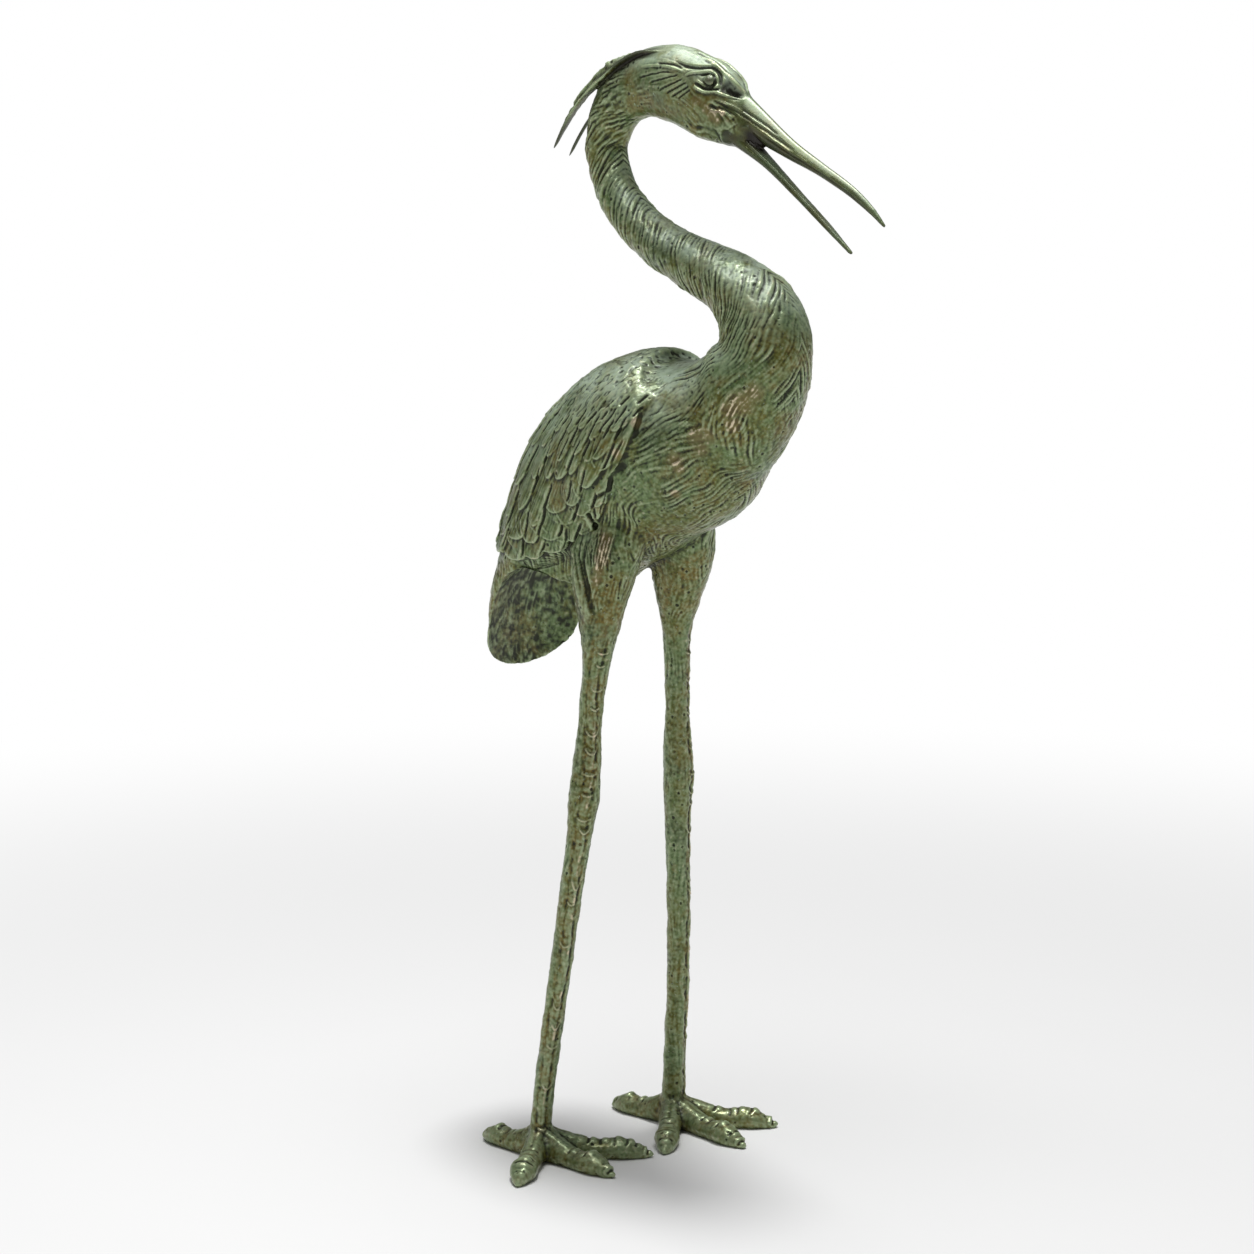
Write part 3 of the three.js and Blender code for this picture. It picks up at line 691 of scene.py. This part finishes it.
for rows, is_left in LEG_SIDES:
    relief += 3.2 * stroke(rows, THIGH_FLAP, is_left, 9, 0.3)
    relief -= 2.2 * stroke(rows, shifted(THIGH_FLAP[:-1], 0.006, -24), is_left, 4.5, 0.3)
    for k in range(5):
        groove = shifted(THIGH_FLAP[k % 2:6 - k % 3], -0.004, 8 * k - 14)
        relief -= 0.8 * stroke(rows, groove, is_left, 1.6, 0.3)
    for k in range(6):
        start, end = 0.098 + 0.006 * (k % 3), 0.15 + 0.008 * (k % 2)
        tuft = [[start, 140 + 5 * k], [0.125, 140 + 5 * k], [end, 142 + 4 * k]]
        relief += 1.1 * stroke(rows, tuft, is_left, 1.3)
    front = [[share, angle + rng.normal(0, 3)] for share, angle in shin_front(np.linspace(0.27, 0.95, 30))]
    relief += 0.6 * stroke(rows, front, is_left, 2.4, 0.05) * swell(grain(skin / 12, 33), -0.3, 0.1)
    relief += stroke(rows, shifted(front, 0, 14), is_left, 5, 0.05)
    for depth, aside, radius, seed in ((0.9, -16, 3, 34), (0.7, 40, 4, 35)):
        patchy = swell(grain(skin / 14, seed), -0.2, 0.3)
        relief -= depth * stroke(rows, shifted(front, 0, aside), is_left, radius, 0.05) * patchy
    share = 0.3
    while share < 0.96:
        start, end = rng.uniform(85, 105), rng.uniform(140, 165)
        sag = rng.uniform(0.004, 0.012)
        scute = [[share + sag * math.sin((angle - start) / (end - start) * math.pi), angle]
                 for angle in np.linspace(start, end, 9)]
        relief += rng.uniform(0.5, 1.1) * stroke(rows, scute, is_left, 1.5)
        relief -= rng.uniform(0.2, 0.6) * stroke(rows, shifted(scute, -0.008, 0), is_left, 2.4)
        scutes.append(over(rows, scute, is_left))
        share += rng.uniform(0.02, 0.06)


def round_toe(toe, share, first, last, steps, radius, taper=0.15):
    """How firmly a tool drawn over a toe from one angle to another touches each point."""
    rows, side = toe
    return touch([on_body(rows, share, np.radians(np.linspace(first, last, steps)), side)[0]], radius, taper)


# rings, knuckles, claws and tendons of the toes
for number, toe in enumerate(toe_lines):
    bumps = 5 if number % 4 in (0, 2) else 3
    for share in np.linspace(0.3, 0.72, bumps) + rng.uniform(-0.03, 0.03, bumps):
        sag = 0.02 * np.sin(np.linspace(0, 3.1, 13))
        first, last = rng.uniform(25, 60), rng.uniform(120, 155)
        relief -= rng.uniform(0.5, 1.3) * round_toe(toe, share + sag, first, last, 13, 2.4)
        relief += rng.uniform(0.8, 2) * round_toe(toe, share + 0.05, 70, 110, 7, 5.5, 0)
    if number % 4:
        relief += round_toe(toe, 0.84, 5, 175, 15, 3, 0)
        relief -= 1.6 * round_toe(toe, 0.885, 5, 175, 15, 2.8, 0)
    for lean in (70, 110):
        relief += 0.7 * round_toe(toe, np.linspace(0.02, 0.3, 9), lean, lean, 9, 4)


def laid_out(rows, points):
    """How far points of the skin lie along a body and round it from the ridge of its back."""
    share = np.linspace(0, 1, 500)
    centre, along, across, out, wide, deep = stations(rows, share)
    run = np.concatenate([[0], np.linalg.norm(np.diff(centre, axis=0), axis=1).cumsum()])
    line = finder(centre)
    nearest = np.array([line.find(point)[1] for point in points])
    offset = points - centre[nearest]
    ridge = (offset * out[nearest]).sum(1)
    aside = np.abs((offset * across[nearest]).sum(1))
    girth = (wide + deep)[nearest, 0] / 2
    return run[nearest] + (offset * along[nearest]).sum(1), np.arctan2(aside, ridge) * girth


# strokes of the plumage: round the neck at a slant, down the breast, and back over the flank
STROKE_PITCH = 3.3
STROKE_LENGTH = 30
# millimetres along a body and the slant of the strokes there
NECK_SLANTS = [[0, 0], [90, 6], [140, 20], [185, 40], [235, 54], [400, 54], [465, 44], [525, 20]]
TRUNK_SLANTS = [[0, 0], [150, -12], [250, -28], [380, -36]]
HEAD_SLANTS = [[0, 25], [60, 5], [190, 0]]
LEG_SLANTS = [[0, 14], [110, -10], [250, 0]]
is_leg = swell(-z, -600, -545)
on_bill = swell(nearness(bill_spots, 9, (z > 880) & (x > 150)), 0.2, 0.6)
on_plume = swell(nearness(plume_spots, 9, (z > 980) & (x < 95)), 0.2, 0.6)
fragile = np.maximum(on_bill, on_plume)
on_head = swell(x, 16, 44) * swell(z, 1030, 1050)
on_neck = swell(z, 735, 790) * (1 - on_head)
on_thigh = (1 - swell(z, 600, 650)) * swell(x, 5, 20)
on_trunk = (1 - swell(z, 735, 790)) * swell(z, 480, 500) * (1 - on_thigh)
strokes = np.zeros(count)
for rows, slants, share_of, seed in (
        (NECK, NECK_SLANTS, on_neck, 60), (TRUNK, TRUNK_SLANTS, on_trunk, 70),
        (HEAD, HEAD_SLANTS, on_head, 80),
        (RIGHT_LEG, LEG_SLANTS, on_thigh * (y < 0), 90), (LEFT_LEG, LEG_SLANTS, on_thigh * (y >= 0), 100)):
    here = np.nonzero(share_of > 0)[0]
    length, girth = laid_out(rows, skin[here])
    girth += 6 * grain(skin[here] / 30, seed + 9)
    levels = [level for level, _ in slants]
    for k, (_, slant) in enumerate(slants):
        weight = np.sqrt(np.interp(length, levels, np.eye(len(levels))[k]) * share_of[here])
        lean = math.radians(slant)
        cross = girth * math.cos(lean) - length * math.sin(lean)
        down = length * math.cos(lean) + girth * math.sin(lean)
        for broad, press in ((1, 1), (2.3, 0.5)):
            spots = np.stack([cross / (STROKE_PITCH * broad), np.full(len(here), broad / 5),
                              down / (STROKE_LENGTH * broad)], 1)
            strokes[here] += press * weight * grain(spots, seed + k)
eye_spots = on_both_sides(HEAD, [EYE_SPOT, EYE_SPOT], [0])
by_eye = swell(nearness(eye_spots, 24, (x > 70) & (z > 1000)), 0.1, 0.6)
back = swell(z + 0.35 * x, 800, 830) * (1 - swell(z, 830, 850)) * (1 - swell(x, 120, 150))
firmness = (0.8 + 0.35 * swell(z, 740, 800)) * (0.3 + 0.9 * swell(grain(skin / 28, 5), -0.2, 0.3))
firmness *= (1 - is_leg * 0.6) * (1 - fragile * 0.95) * (1 - on_wing * 0.85) * (1 - 0.75 * shoulder)
firmness *= (1 - 0.8 * back) * (1 - 0.7 * on_head) * (1 - 0.8 * by_eye) * (1 - 0.8 * fold_top)
relief += np.clip(strokes * 1.3, -1, 0.8) * firmness

# uneven wax, dabs of the thumb and small pits
calm = (1 - 0.94 * fragile) * (1 - 0.6 * by_eye) * (1 - 0.4 * on_head) * (1 - 0.5 * fold_top)
relief += calm * (0.8 * grain(skin / 26, 11) + 0.5 * grain(skin / 12, 12))
calm *= (1 - 0.6 * on_wing) * (1 - 0.5 * back)
relief += calm * (0.42 * grain(skin / 6, 13) + 0.2 * grain(skin / 3, 14))
pits = rng.choice(np.nonzero(fragile + by_eye < 0.1)[0], 700, replace=False)
pitted = np.zeros(count)
for index in pits:
    radius = rng.uniform(1, 2.3)
    depth = rng.uniform(0.4, 1.2)
    for _, spot, far in tree.find_range(skin[index], radius):
        pitted[spot] = max(pitted[spot], depth * (1 - (far / radius) ** 2))
relief -= pitted

# the soles stay flat, and no point leaves the casting's own box
moved = skin + facing * relief[:, None]
moved[:, 2] = np.where(skin[:, 2] < 0.6, np.maximum(skin[:, 2], 0), np.maximum(moved[:, 2], 0))
low, high = np.array(cad_box) * 1000 + MIDDLE
moved = np.clip(moved, low, high)
put_back(moved)

# Patina
# The bronze was coloured green with acids and heat, waxed, and has worn to bare metal on the high spots.
# Where the skin lies low the colour is dark, dark patina with painted shade, and where it stands proud it is
# pale, rubbed patina with a painted highlight.
FINE_DEPTH = 0.17
BROAD_DEPTH = 0.6
smooth_near = spread(moved, 3)
smooth_wide = spread(smooth_near, 14)
fine = ((moved - smooth_near) * facing).sum(1)
broad = ((smooth_near - smooth_wide) * facing).sum(1)
plain = 1 - 0.75 * on_bill
# lowness guides painted shade with dark patina in the hollows; height guides a painted highlight with rubbed
# pale patina on the proud strokes
lowness = plain * (np.clip(-fine / FINE_DEPTH, 0, 1) * 0.65 + np.clip(-broad / BROAD_DEPTH, 0, 1) * 0.8)
height = plain * (np.clip(fine / FINE_DEPTH, 0, 1) * 0.65 + np.clip(broad / BROAD_DEPTH, 0, 1) * 0.7)
# rubbed spots: share along a body, angle round it and radius
RUBBED = [(HEAD, [
    [0.628, 178, 3.2], [0.66, 177, 3.4], [0.69, 178, 3], [0.72, 182, 3.6], [0.75, 183, 3], [0.78, 185, 4.4],
    [0.815, 188, 3.4], [0.792, 172, 1.6], [0.83, 170, 1.5],
]), (TRUNK, [
    [0.853, 160, 4], [0.85, 168, 5], [0.81, 178, 4], [0.79, 184, 5], [0.97, 204, 9], [0.99, 211, 8],
    [0.955, 213, 7], [0.9, 204, 7], [0.895, 209, 5], [0.86, 222, 4],
]), (NECK, [[0.13, 214, 13], [0.115, 206, 8], [0.15, 222, 9], [0.1, 216, 7]])]
RUBBED_LEG = [[0.11, 150, 6], [0.125, 150, 6], [0.14, 149, 6], [0.158, 151, 5], [0.175, 153, 5]]
rubbed_and_shin_highlight = 0.4 * touch(scutes, 1.4)
shin_gold = np.zeros(count)
for leg_rows, is_left in LEG_SIDES:
    for rows, spots in RUBBED + [(leg_rows, RUBBED_LEG)]:
        for share, angle, radius in spots:
            t, turn = drawn([[share, angle]] * 2, [0], is_left)
            reach = radius * 1.15 + 2
            for _, near, far in tree.find_range(on_body(rows, t, turn)[0][0], reach):
                rubbed_and_shin_highlight[near] = max(rubbed_and_shin_highlight[near], 1 - (far / reach) ** 2)
    # painted highlight: a pale streak in patches down the front of each shin, laid in with the rubbed spots
    front = shin_front(np.linspace(0.2, 0.95, 24))
    patchy = swell(grain(skin / 8, 22 + is_left), 0, 0.3)
    rubbed_and_shin_highlight = np.maximum(rubbed_and_shin_highlight, 0.6 * patchy * stroke(leg_rows, front, is_left, 2.6, 0.05))
    beside = stroke(leg_rows, shifted(front, 0, 10), is_left, 11, 0)
    shin_gold = np.maximum(shin_gold, swell(beside, 0.05, 0.5))
in_mouth = nearness(rings_along(MOUTH, oval(8), 12).reshape(-1, 3), 11, (z > 980) & (x > 165))
by_head = (x > 80) & (z > 1020)
lores = on_both_sides(HEAD, [[0.74, 131], [0.79, 124], [0.83, 117]], np.linspace(0, 1, 12))
# painted shade: the depth of the open mouth, the plumes seen from below, the sunk eyes, the hollow lores and
# the underside of the bill are painted near black; the bill's own darker tone is laid on with it
painted_shade_and_dark_tone = np.maximum.reduce([
    np.clip(1.3 * in_mouth, 0, 1) * swell(x, 176, 186),
    0.8 * on_plume * swell(-x, -90, -60),
    0.72 * swell(nearness(eye_spots, 7.5, by_head), 0.1, 0.4),
    0.6 * swell(nearness(lores, 10, by_head), 0.1, 0.7),
    on_bill * (0.3 + 0.4 * swell(-facing[:, 2], -0.15, 0.4)),
])
gilded = np.maximum.reduce([
    np.clip(is_leg * shin_gold + 0.7 * swell(grain(skin / 42, 21), 0, 0.4)
            + 0.8 * band(z, 540, 560, 590, 625) * swell(x, 15, 35), 0, 1),
    0.75 * (1 - swell(z, 30, 70)),
    0.8 * on_head * swell(-facing[:, 2], -0.1, 0.5),
])
# painted top light: faces turned up are tinted pale, partly a pale bloom of the patina and partly light from
# above painted in, less so low down, on the plumes and on the bill
top_light_and_bloom = swell(spread(facing, 4)[:, 2], 0, 0.75) * (1 - 0.4 * on_plume) * (1 - 0.5 * on_bill)
top_light_and_bloom *= (0.25 + 0.75 * swell(z, 200, 600)) * (1 - 0.4 * fold_top)
masks = dict(lowness=lowness, height=height, rubbed_and_shin_highlight=rubbed_and_shin_highlight, painted_shade_and_dark_tone=painted_shade_and_dark_tone, gilded=gilded, top_light_and_bloom=top_light_and_bloom)
for name, values in masks.items():
    body.data.attributes.new(name, "FLOAT", "POINT").data.foreach_set("value", values.astype(np.float32))

bronze = bpy.data.materials.new("bronze_patina")
bronze.use_nodes = True


def feed(tree_of, socket, value):
    """Sets a socket to a plain value, or wires another node's socket to it."""
    if isinstance(value, bpy.types.NodeSocket):
        tree_of.links.new(value, socket)
    else:
        socket.default_value = value


def node(tree_of, kind, **values):
    """A node with its settings made and its sockets fed."""
    made = tree_of.nodes.new("ShaderNode" + kind)
    for key, value in values.items():
        if key in made.inputs:
            feed(tree_of, made.inputs[key], value)
        else:
            setattr(made, key, value)
    return made


def ramp(tree_of, value, low, high, **values):
    """A mask that rises from 0 to 1 as a value goes from low to high."""
    values.update({"Value": value, "From Min": low, "From Max": high})
    return node(tree_of, "MapRange", **values).outputs["Result"]


patina = bpy.data.node_groups.new("patina", "ShaderNodeTree")
for name in masks:
    patina.interface.new_socket(name, in_out="INPUT", socket_type="NodeSocketFloat")
patina.interface.new_socket("place", in_out="INPUT", socket_type="NodeSocketVector")
for name, kind in (("colour", "Color"), ("metal", "Float"), ("roughness", "Float"), ("relief", "Float")):
    patina.interface.new_socket(name, in_out="OUTPUT", socket_type="NodeSocket" + kind)
mask = patina.nodes.new("NodeGroupInput").outputs
VERDIGRIS = (0.12, 0.186, 0.064, 1)
OLIVE = (0.12, 0.122, 0.01, 1)
DEEP_GREEN = (0.035, 0.066, 0.022, 1)
BROWN_GOLD = (0.18, 0.115, 0.01, 1)
# pale bloom, also the colour of the painted top light
PALE_BLOOM_AND_TOP_LIGHT = (0.38, 0.47, 0.37, 1)
PALE_EDGE = (0.33, 0.41, 0.23, 1)
DARK_RECESS = (0.012, 0.015, 0.004, 1)
# bare bronze of the rubbed spots, also the colour of the painted glints
BARE_BRONZE_AND_GLINT = (0.62, 0.53, 0.37, 1)
WORN_BROWN = (0.19, 0.14, 0.05, 1)
# near black for painted shade, and for the bill's darker tone
SHADE_AND_DARK_TONE_BLACK = (0.012, 0.009, 0.005, 1)


def blotches(scale, detail, low, high):
    """Noise over the casting as a mask that rises from 0 to 1 between two levels."""
    cloud = node(patina, "TexNoise", Vector=mask["place"], Scale=scale, Detail=detail, Roughness=0.6,
                 Distortion=0.4)
    return ramp(patina, cloud.outputs["Fac"], low, high)


def maths(what, *values):
    """Arithmetic on masks."""
    made = node(patina, "Math", operation=what)
    for socket, value in zip(made.inputs, values):
        feed(patina, socket, value)
    return made.outputs[0]


def times(one, other):
    """One mask weakened by another, or by a share."""
    return maths("MULTIPLY", one, other)


def tint(share, under, laid_on):
    """One colour laid over another by a mask."""
    mixed = node(patina, "Mix", data_type="RGBA")
    for number, value in ((0, share), (6, under), (7, laid_on)):
        feed(patina, mixed.inputs[number], value)
    return mixed.outputs[2]


def layer(share, scale, detail, low, high, under, laid_on):
    """A layer of colour laid on in patches, no thicker than a share."""
    return tint(times(blotches(scale, detail, low, high), share), under, laid_on)


colour = layer(1, 24, 5, 0.42, 0.58, VERDIGRIS, OLIVE)
colour = layer(0.75, 17, 6, 0.5, 0.64, colour, DEEP_GREEN)
colour = layer(0.6, 31, 6, 0.58, 0.68, colour, BROWN_GOLD)
gold = times(mask["gilded"], blotches(60, 5, 0.35, 0.6))
colour = tint(times(gold, 0.8), colour, BROWN_GOLD)
colour = layer(0.45, 150, 4, 0.5, 0.62, colour, VERDIGRIS)
colour = layer(0.35, 210, 4, 0.54, 0.66, colour, OLIVE)
colour = layer(0.45, 330, 4, 0.52, 0.66, colour, DARK_RECESS)
# painted top light, mixed with the patina's pale bloom, on the upward faces
bloom_and_top_light = times(mask["top_light_and_bloom"], blotches(40, 6, 0.28, 0.55))
colour = tint(times(bloom_and_top_light, 0.85), colour, PALE_BLOOM_AND_TOP_LIGHT)
# painted highlight with rubbed pale patina on the proud strokes
colour = tint(times(mask["height"], 0.85), colour, PALE_EDGE)
colour = layer(0.6, 300, 2, 0.66, 0.74, colour, PALE_BLOOM_AND_TOP_LIGHT)
# painted shade with dark patina in the low strokes and hollows
colour = tint(maths("MINIMUM", times(mask["lowness"], 1.15), 0.93), colour, DARK_RECESS)
colour = tint(times(mask["rubbed_and_shin_highlight"], 0.6), colour, WORN_BROWN)
bare = ramp(patina, times(mask["rubbed_and_shin_highlight"], mask["height"]), 0.2, 0.65)
# painted glints: small pale specks on the proud points, coloured like bare bronze together with the real
# rubbed spots
glints = times(blotches(230, 3, 0.56, 0.74), mask["height"])
worn_and_glints = maths("MAXIMUM", bare, times(glints, 0.7))
colour = tint(worn_and_glints, colour, BARE_BRONZE_AND_GLINT)
# painted shade, near black, in the mouth, eyes and lores and under the plumes and bill, with the bill's
# darker tone
colour = tint(mask["painted_shade_and_dark_tone"], colour, SHADE_AND_DARK_TONE_BLACK)
WAXED_METAL = 0.4
WORN_METAL = 0.4
BLOOM_DULLING = 0.3
LEAST_ROUGHNESS = 0.25
metal = maths("ADD", times(worn_and_glints, WORN_METAL), WAXED_METAL)
metal = maths("SUBTRACT", metal, times(bloom_and_top_light, BLOOM_DULLING))
dull = maths("ADD", times(blotches(90, 4, 0.3, 0.7), 0.16), LEAST_ROUGHNESS)
dull = maths("ADD", dull, times(mask["lowness"], 0.3))
fine_relief = node(patina, "TexNoise", Vector=mask["place"], Scale=520, Detail=3, Roughness=0.6)
result = patina.nodes.new("NodeGroupOutput").inputs
for socket, value in zip(result, (colour, metal, dull, fine_relief.outputs["Fac"])):
    feed(patina, socket, value)

WAX_COAT = 0.2
WAX_ROUGHNESS = 0.26
MIRROR_LEVEL = 0.35
BUMP_STRENGTH = 0.25
BUMP_DEPTH = 0.0004
casting = bronze.node_tree
finish = node(casting, "Group")
finish.node_tree = patina
for name in masks:
    feed(casting, finish.inputs[name], node(casting, "Attribute", attribute_name=name).outputs["Fac"])
feed(casting, finish.inputs["place"], node(casting, "TexCoord").outputs["Object"])
bump = node(casting, "Bump", Strength=BUMP_STRENGTH, Distance=BUMP_DEPTH, Height=finish.outputs["relief"])
for name, value in (("Base Color", finish.outputs["colour"]), ("Metallic", finish.outputs["metal"]),
                    ("Roughness", finish.outputs["roughness"]), ("Normal", bump.outputs["Normal"]),
                    ("Coat Weight", WAX_COAT), ("Coat Roughness", WAX_ROUGHNESS),
                    ("Specular IOR Level", MIRROR_LEVEL)):
    feed(casting, casting.nodes["Principled BSDF"].inputs[name], value)
body.data.materials.clear()
body.data.materials.append(bronze)
pick([body])
bpy.ops.object.shade_smooth()

# Parts of the casting
# The statue is one bronze casting. Flat cuts, which close up without a seam, part its skin only to keep each
# piece light: head, neck, the two sides, thighs with the tail, and legs.


def cut_off(piece, name, spot, way):
    """Cuts a piece at a plane and gives the part that the plane faces as a new closed piece."""
    other = piece.copy()
    other.data = piece.data.copy()
    other.name = name
    bpy.context.collection.objects.link(other)
    for part, ahead in ((other, 1), (piece, -1)):
        pick([part])
        bpy.ops.object.mode_set(mode="EDIT")
        bpy.ops.mesh.select_all(action="SELECT")
        bpy.ops.mesh.bisect(plane_co=(np.array(spot) - MIDDLE) / 1000, plane_no=np.array(way) * ahead,
                            clear_inner=True, threshold=0.000001)
        bpy.ops.mesh.mark_sharp()
        bpy.ops.mesh.fill_holes(sides=0)
        bpy.ops.mesh.select_all(action="SELECT")
        bpy.ops.mesh.delete_loose()
        bpy.ops.object.mode_set(mode="OBJECT")
    return other


# the cuts lie a little off round millimetres, so that they miss the skin's own points
NECK_CUT = 800.3
HEAD_CUT = 960.3
WAIST_CUT = 650.3
LEG_CUT = 465.3
MIDDLE_CUT = 0.4
# the new piece, the piece that it comes off, a point of the cut, and the way to the new piece
CUTS = [
    ("heron_neck", "heron_right_side", (0, 0, NECK_CUT), (0, 0, 1)),
    ("heron_head", "heron_neck", (0, 0, HEAD_CUT), (0, 0, 1)),
    ("heron_right_leg", "heron_right_side", (0, 0, LEG_CUT), (0, 0, -1)),
    ("heron_left_leg", "heron_right_leg", (0, MIDDLE_CUT, 0), (0, 1, 0)),
    ("heron_left_side", "heron_right_side", (0, MIDDLE_CUT, 0), (0, 1, 0)),
    ("heron_right_thigh", "heron_right_side", (0, 0, WAIST_CUT), (0, 0, -1)),
    ("heron_left_thigh", "heron_left_side", (0, 0, WAIST_CUT), (0, 0, -1)),
]
body.name = "heron_right_side"
parts = {body.name: body}
for name, whole, spot, way in CUTS:
    parts[name] = cut_off(parts[whole], name, spot, way)
for part in parts.values():
    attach(part, "root")
    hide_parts("heron")

# Floor
# A plain pale studio floor that brightens into the white room with distance, so that no edge shows.
FLOOR_PALE = (0.79, 0.79, 0.79, 1)
FLOOR_ROUGHNESS = 0.9
FLOOR_SIZE = 60
# metres from the bird's feet at which the floor starts to brighten and is white
FLOOR_FADE = (0.6, 2.6)


def blended(tree_of, share, first, second):
    """One shader that fades into another by a mask."""
    blend = node(tree_of, "MixShader", Fac=share)
    feed(tree_of, blend.inputs[1], first)
    feed(tree_of, blend.inputs[2], second)
    return blend.outputs[0]


bpy.ops.mesh.primitive_plane_add(size=FLOOR_SIZE)
floor = bpy.context.object
floor.name = "floor"
pale = bpy.data.materials.new("pale_floor")
pale.use_nodes = True
ground = pale.node_tree
matt = ground.nodes["Principled BSDF"]
matt.inputs["Base Color"].default_value = FLOOR_PALE
matt.inputs["Roughness"].default_value = FLOOR_ROUGHNESS
reach = node(ground, "VectorMath", operation="LENGTH", Vector=node(ground, "TexCoord").outputs["Object"])
fade = ramp(ground, reach.outputs["Value"], *FLOOR_FADE, interpolation_type="SMOOTHSTEP")
whitened = blended(ground, fade, matt.outputs[0], node(ground, "Emission").outputs[0])
feed(ground, ground.nodes["Material Output"].inputs["Surface"], whitened)
floor.data.materials.append(pale)

# Studio light
# A large soft box hangs over the bird in a white room, with a broad sun-like light almost straight down.
ROOM_LIGHT = 0.18
BACKDROP_LIGHT = 1.0
SUN_LEAN = (math.radians(-4), math.radians(0.4), 0)
SUN_STRENGTH = 1.85
SUN_WIDTH = math.radians(12)
BOX_PLACE = (-0.05, -0.25, 2.35)
BOX_LEAN = (math.radians(-7), math.radians(-1), 0)
BOX_SIZE = 1.4
BOX_WATTS = 28
world = bpy.data.worlds.new("studio")
bpy.context.scene.world = world
world.use_nodes = True
studio = world.node_tree
studio.nodes.clear()
room, backdrop = (node(studio, "Background", Color=(1, 1, 1, 1), Strength=light).outputs[0]
                  for light in (ROOM_LIGHT, BACKDROP_LIGHT))
seen = node(studio, "LightPath").outputs["Is Camera Ray"]
node(studio, "OutputWorld", Surface=blended(studio, seen, room, backdrop))
bpy.ops.object.light_add(type="SUN", rotation=SUN_LEAN)
sun = bpy.context.object
sun.name = "down_light"
sun.data.energy = SUN_STRENGTH
sun.data.angle = SUN_WIDTH
bpy.ops.object.light_add(type="AREA", location=BOX_PLACE, rotation=BOX_LEAN)
soft_box = bpy.context.object
soft_box.name = "soft_box"
soft_box.data.shape = "SQUARE"
soft_box.data.size = BOX_SIZE
soft_box.data.energy = BOX_WATTS

# Camera
# As the photograph was taken, 45 degrees off the bird's right side towards its front.
CAMERA_PLACE = (1.73376, -1.83433, 0.917)
CAMERA_HEADING = math.radians(134.669)
CAMERA_PITCH = math.radians(8.2346)
SENSOR = 36
FOCAL_PIXELS = 2600
PHOTO_WIDTH = 1254
lens = bpy.data.cameras.new("camera")
lens.sensor_width = SENSOR
lens.lens = FOCAL_PIXELS / PHOTO_WIDTH * SENSOR
camera = bpy.data.objects.new("camera", lens)
camera.location = CAMERA_PLACE
level = math.cos(CAMERA_PITCH)
look = Vector((math.cos(CAMERA_HEADING) * level, math.sin(CAMERA_HEADING) * level, -math.sin(CAMERA_PITCH)))
camera.rotation_euler = look.to_track_quat("-Z", "Y").to_euler()
bpy.context.collection.objects.link(camera)
bpy.context.scene.camera = camera
bpy.context.scene.view_settings.view_transform = "Standard"
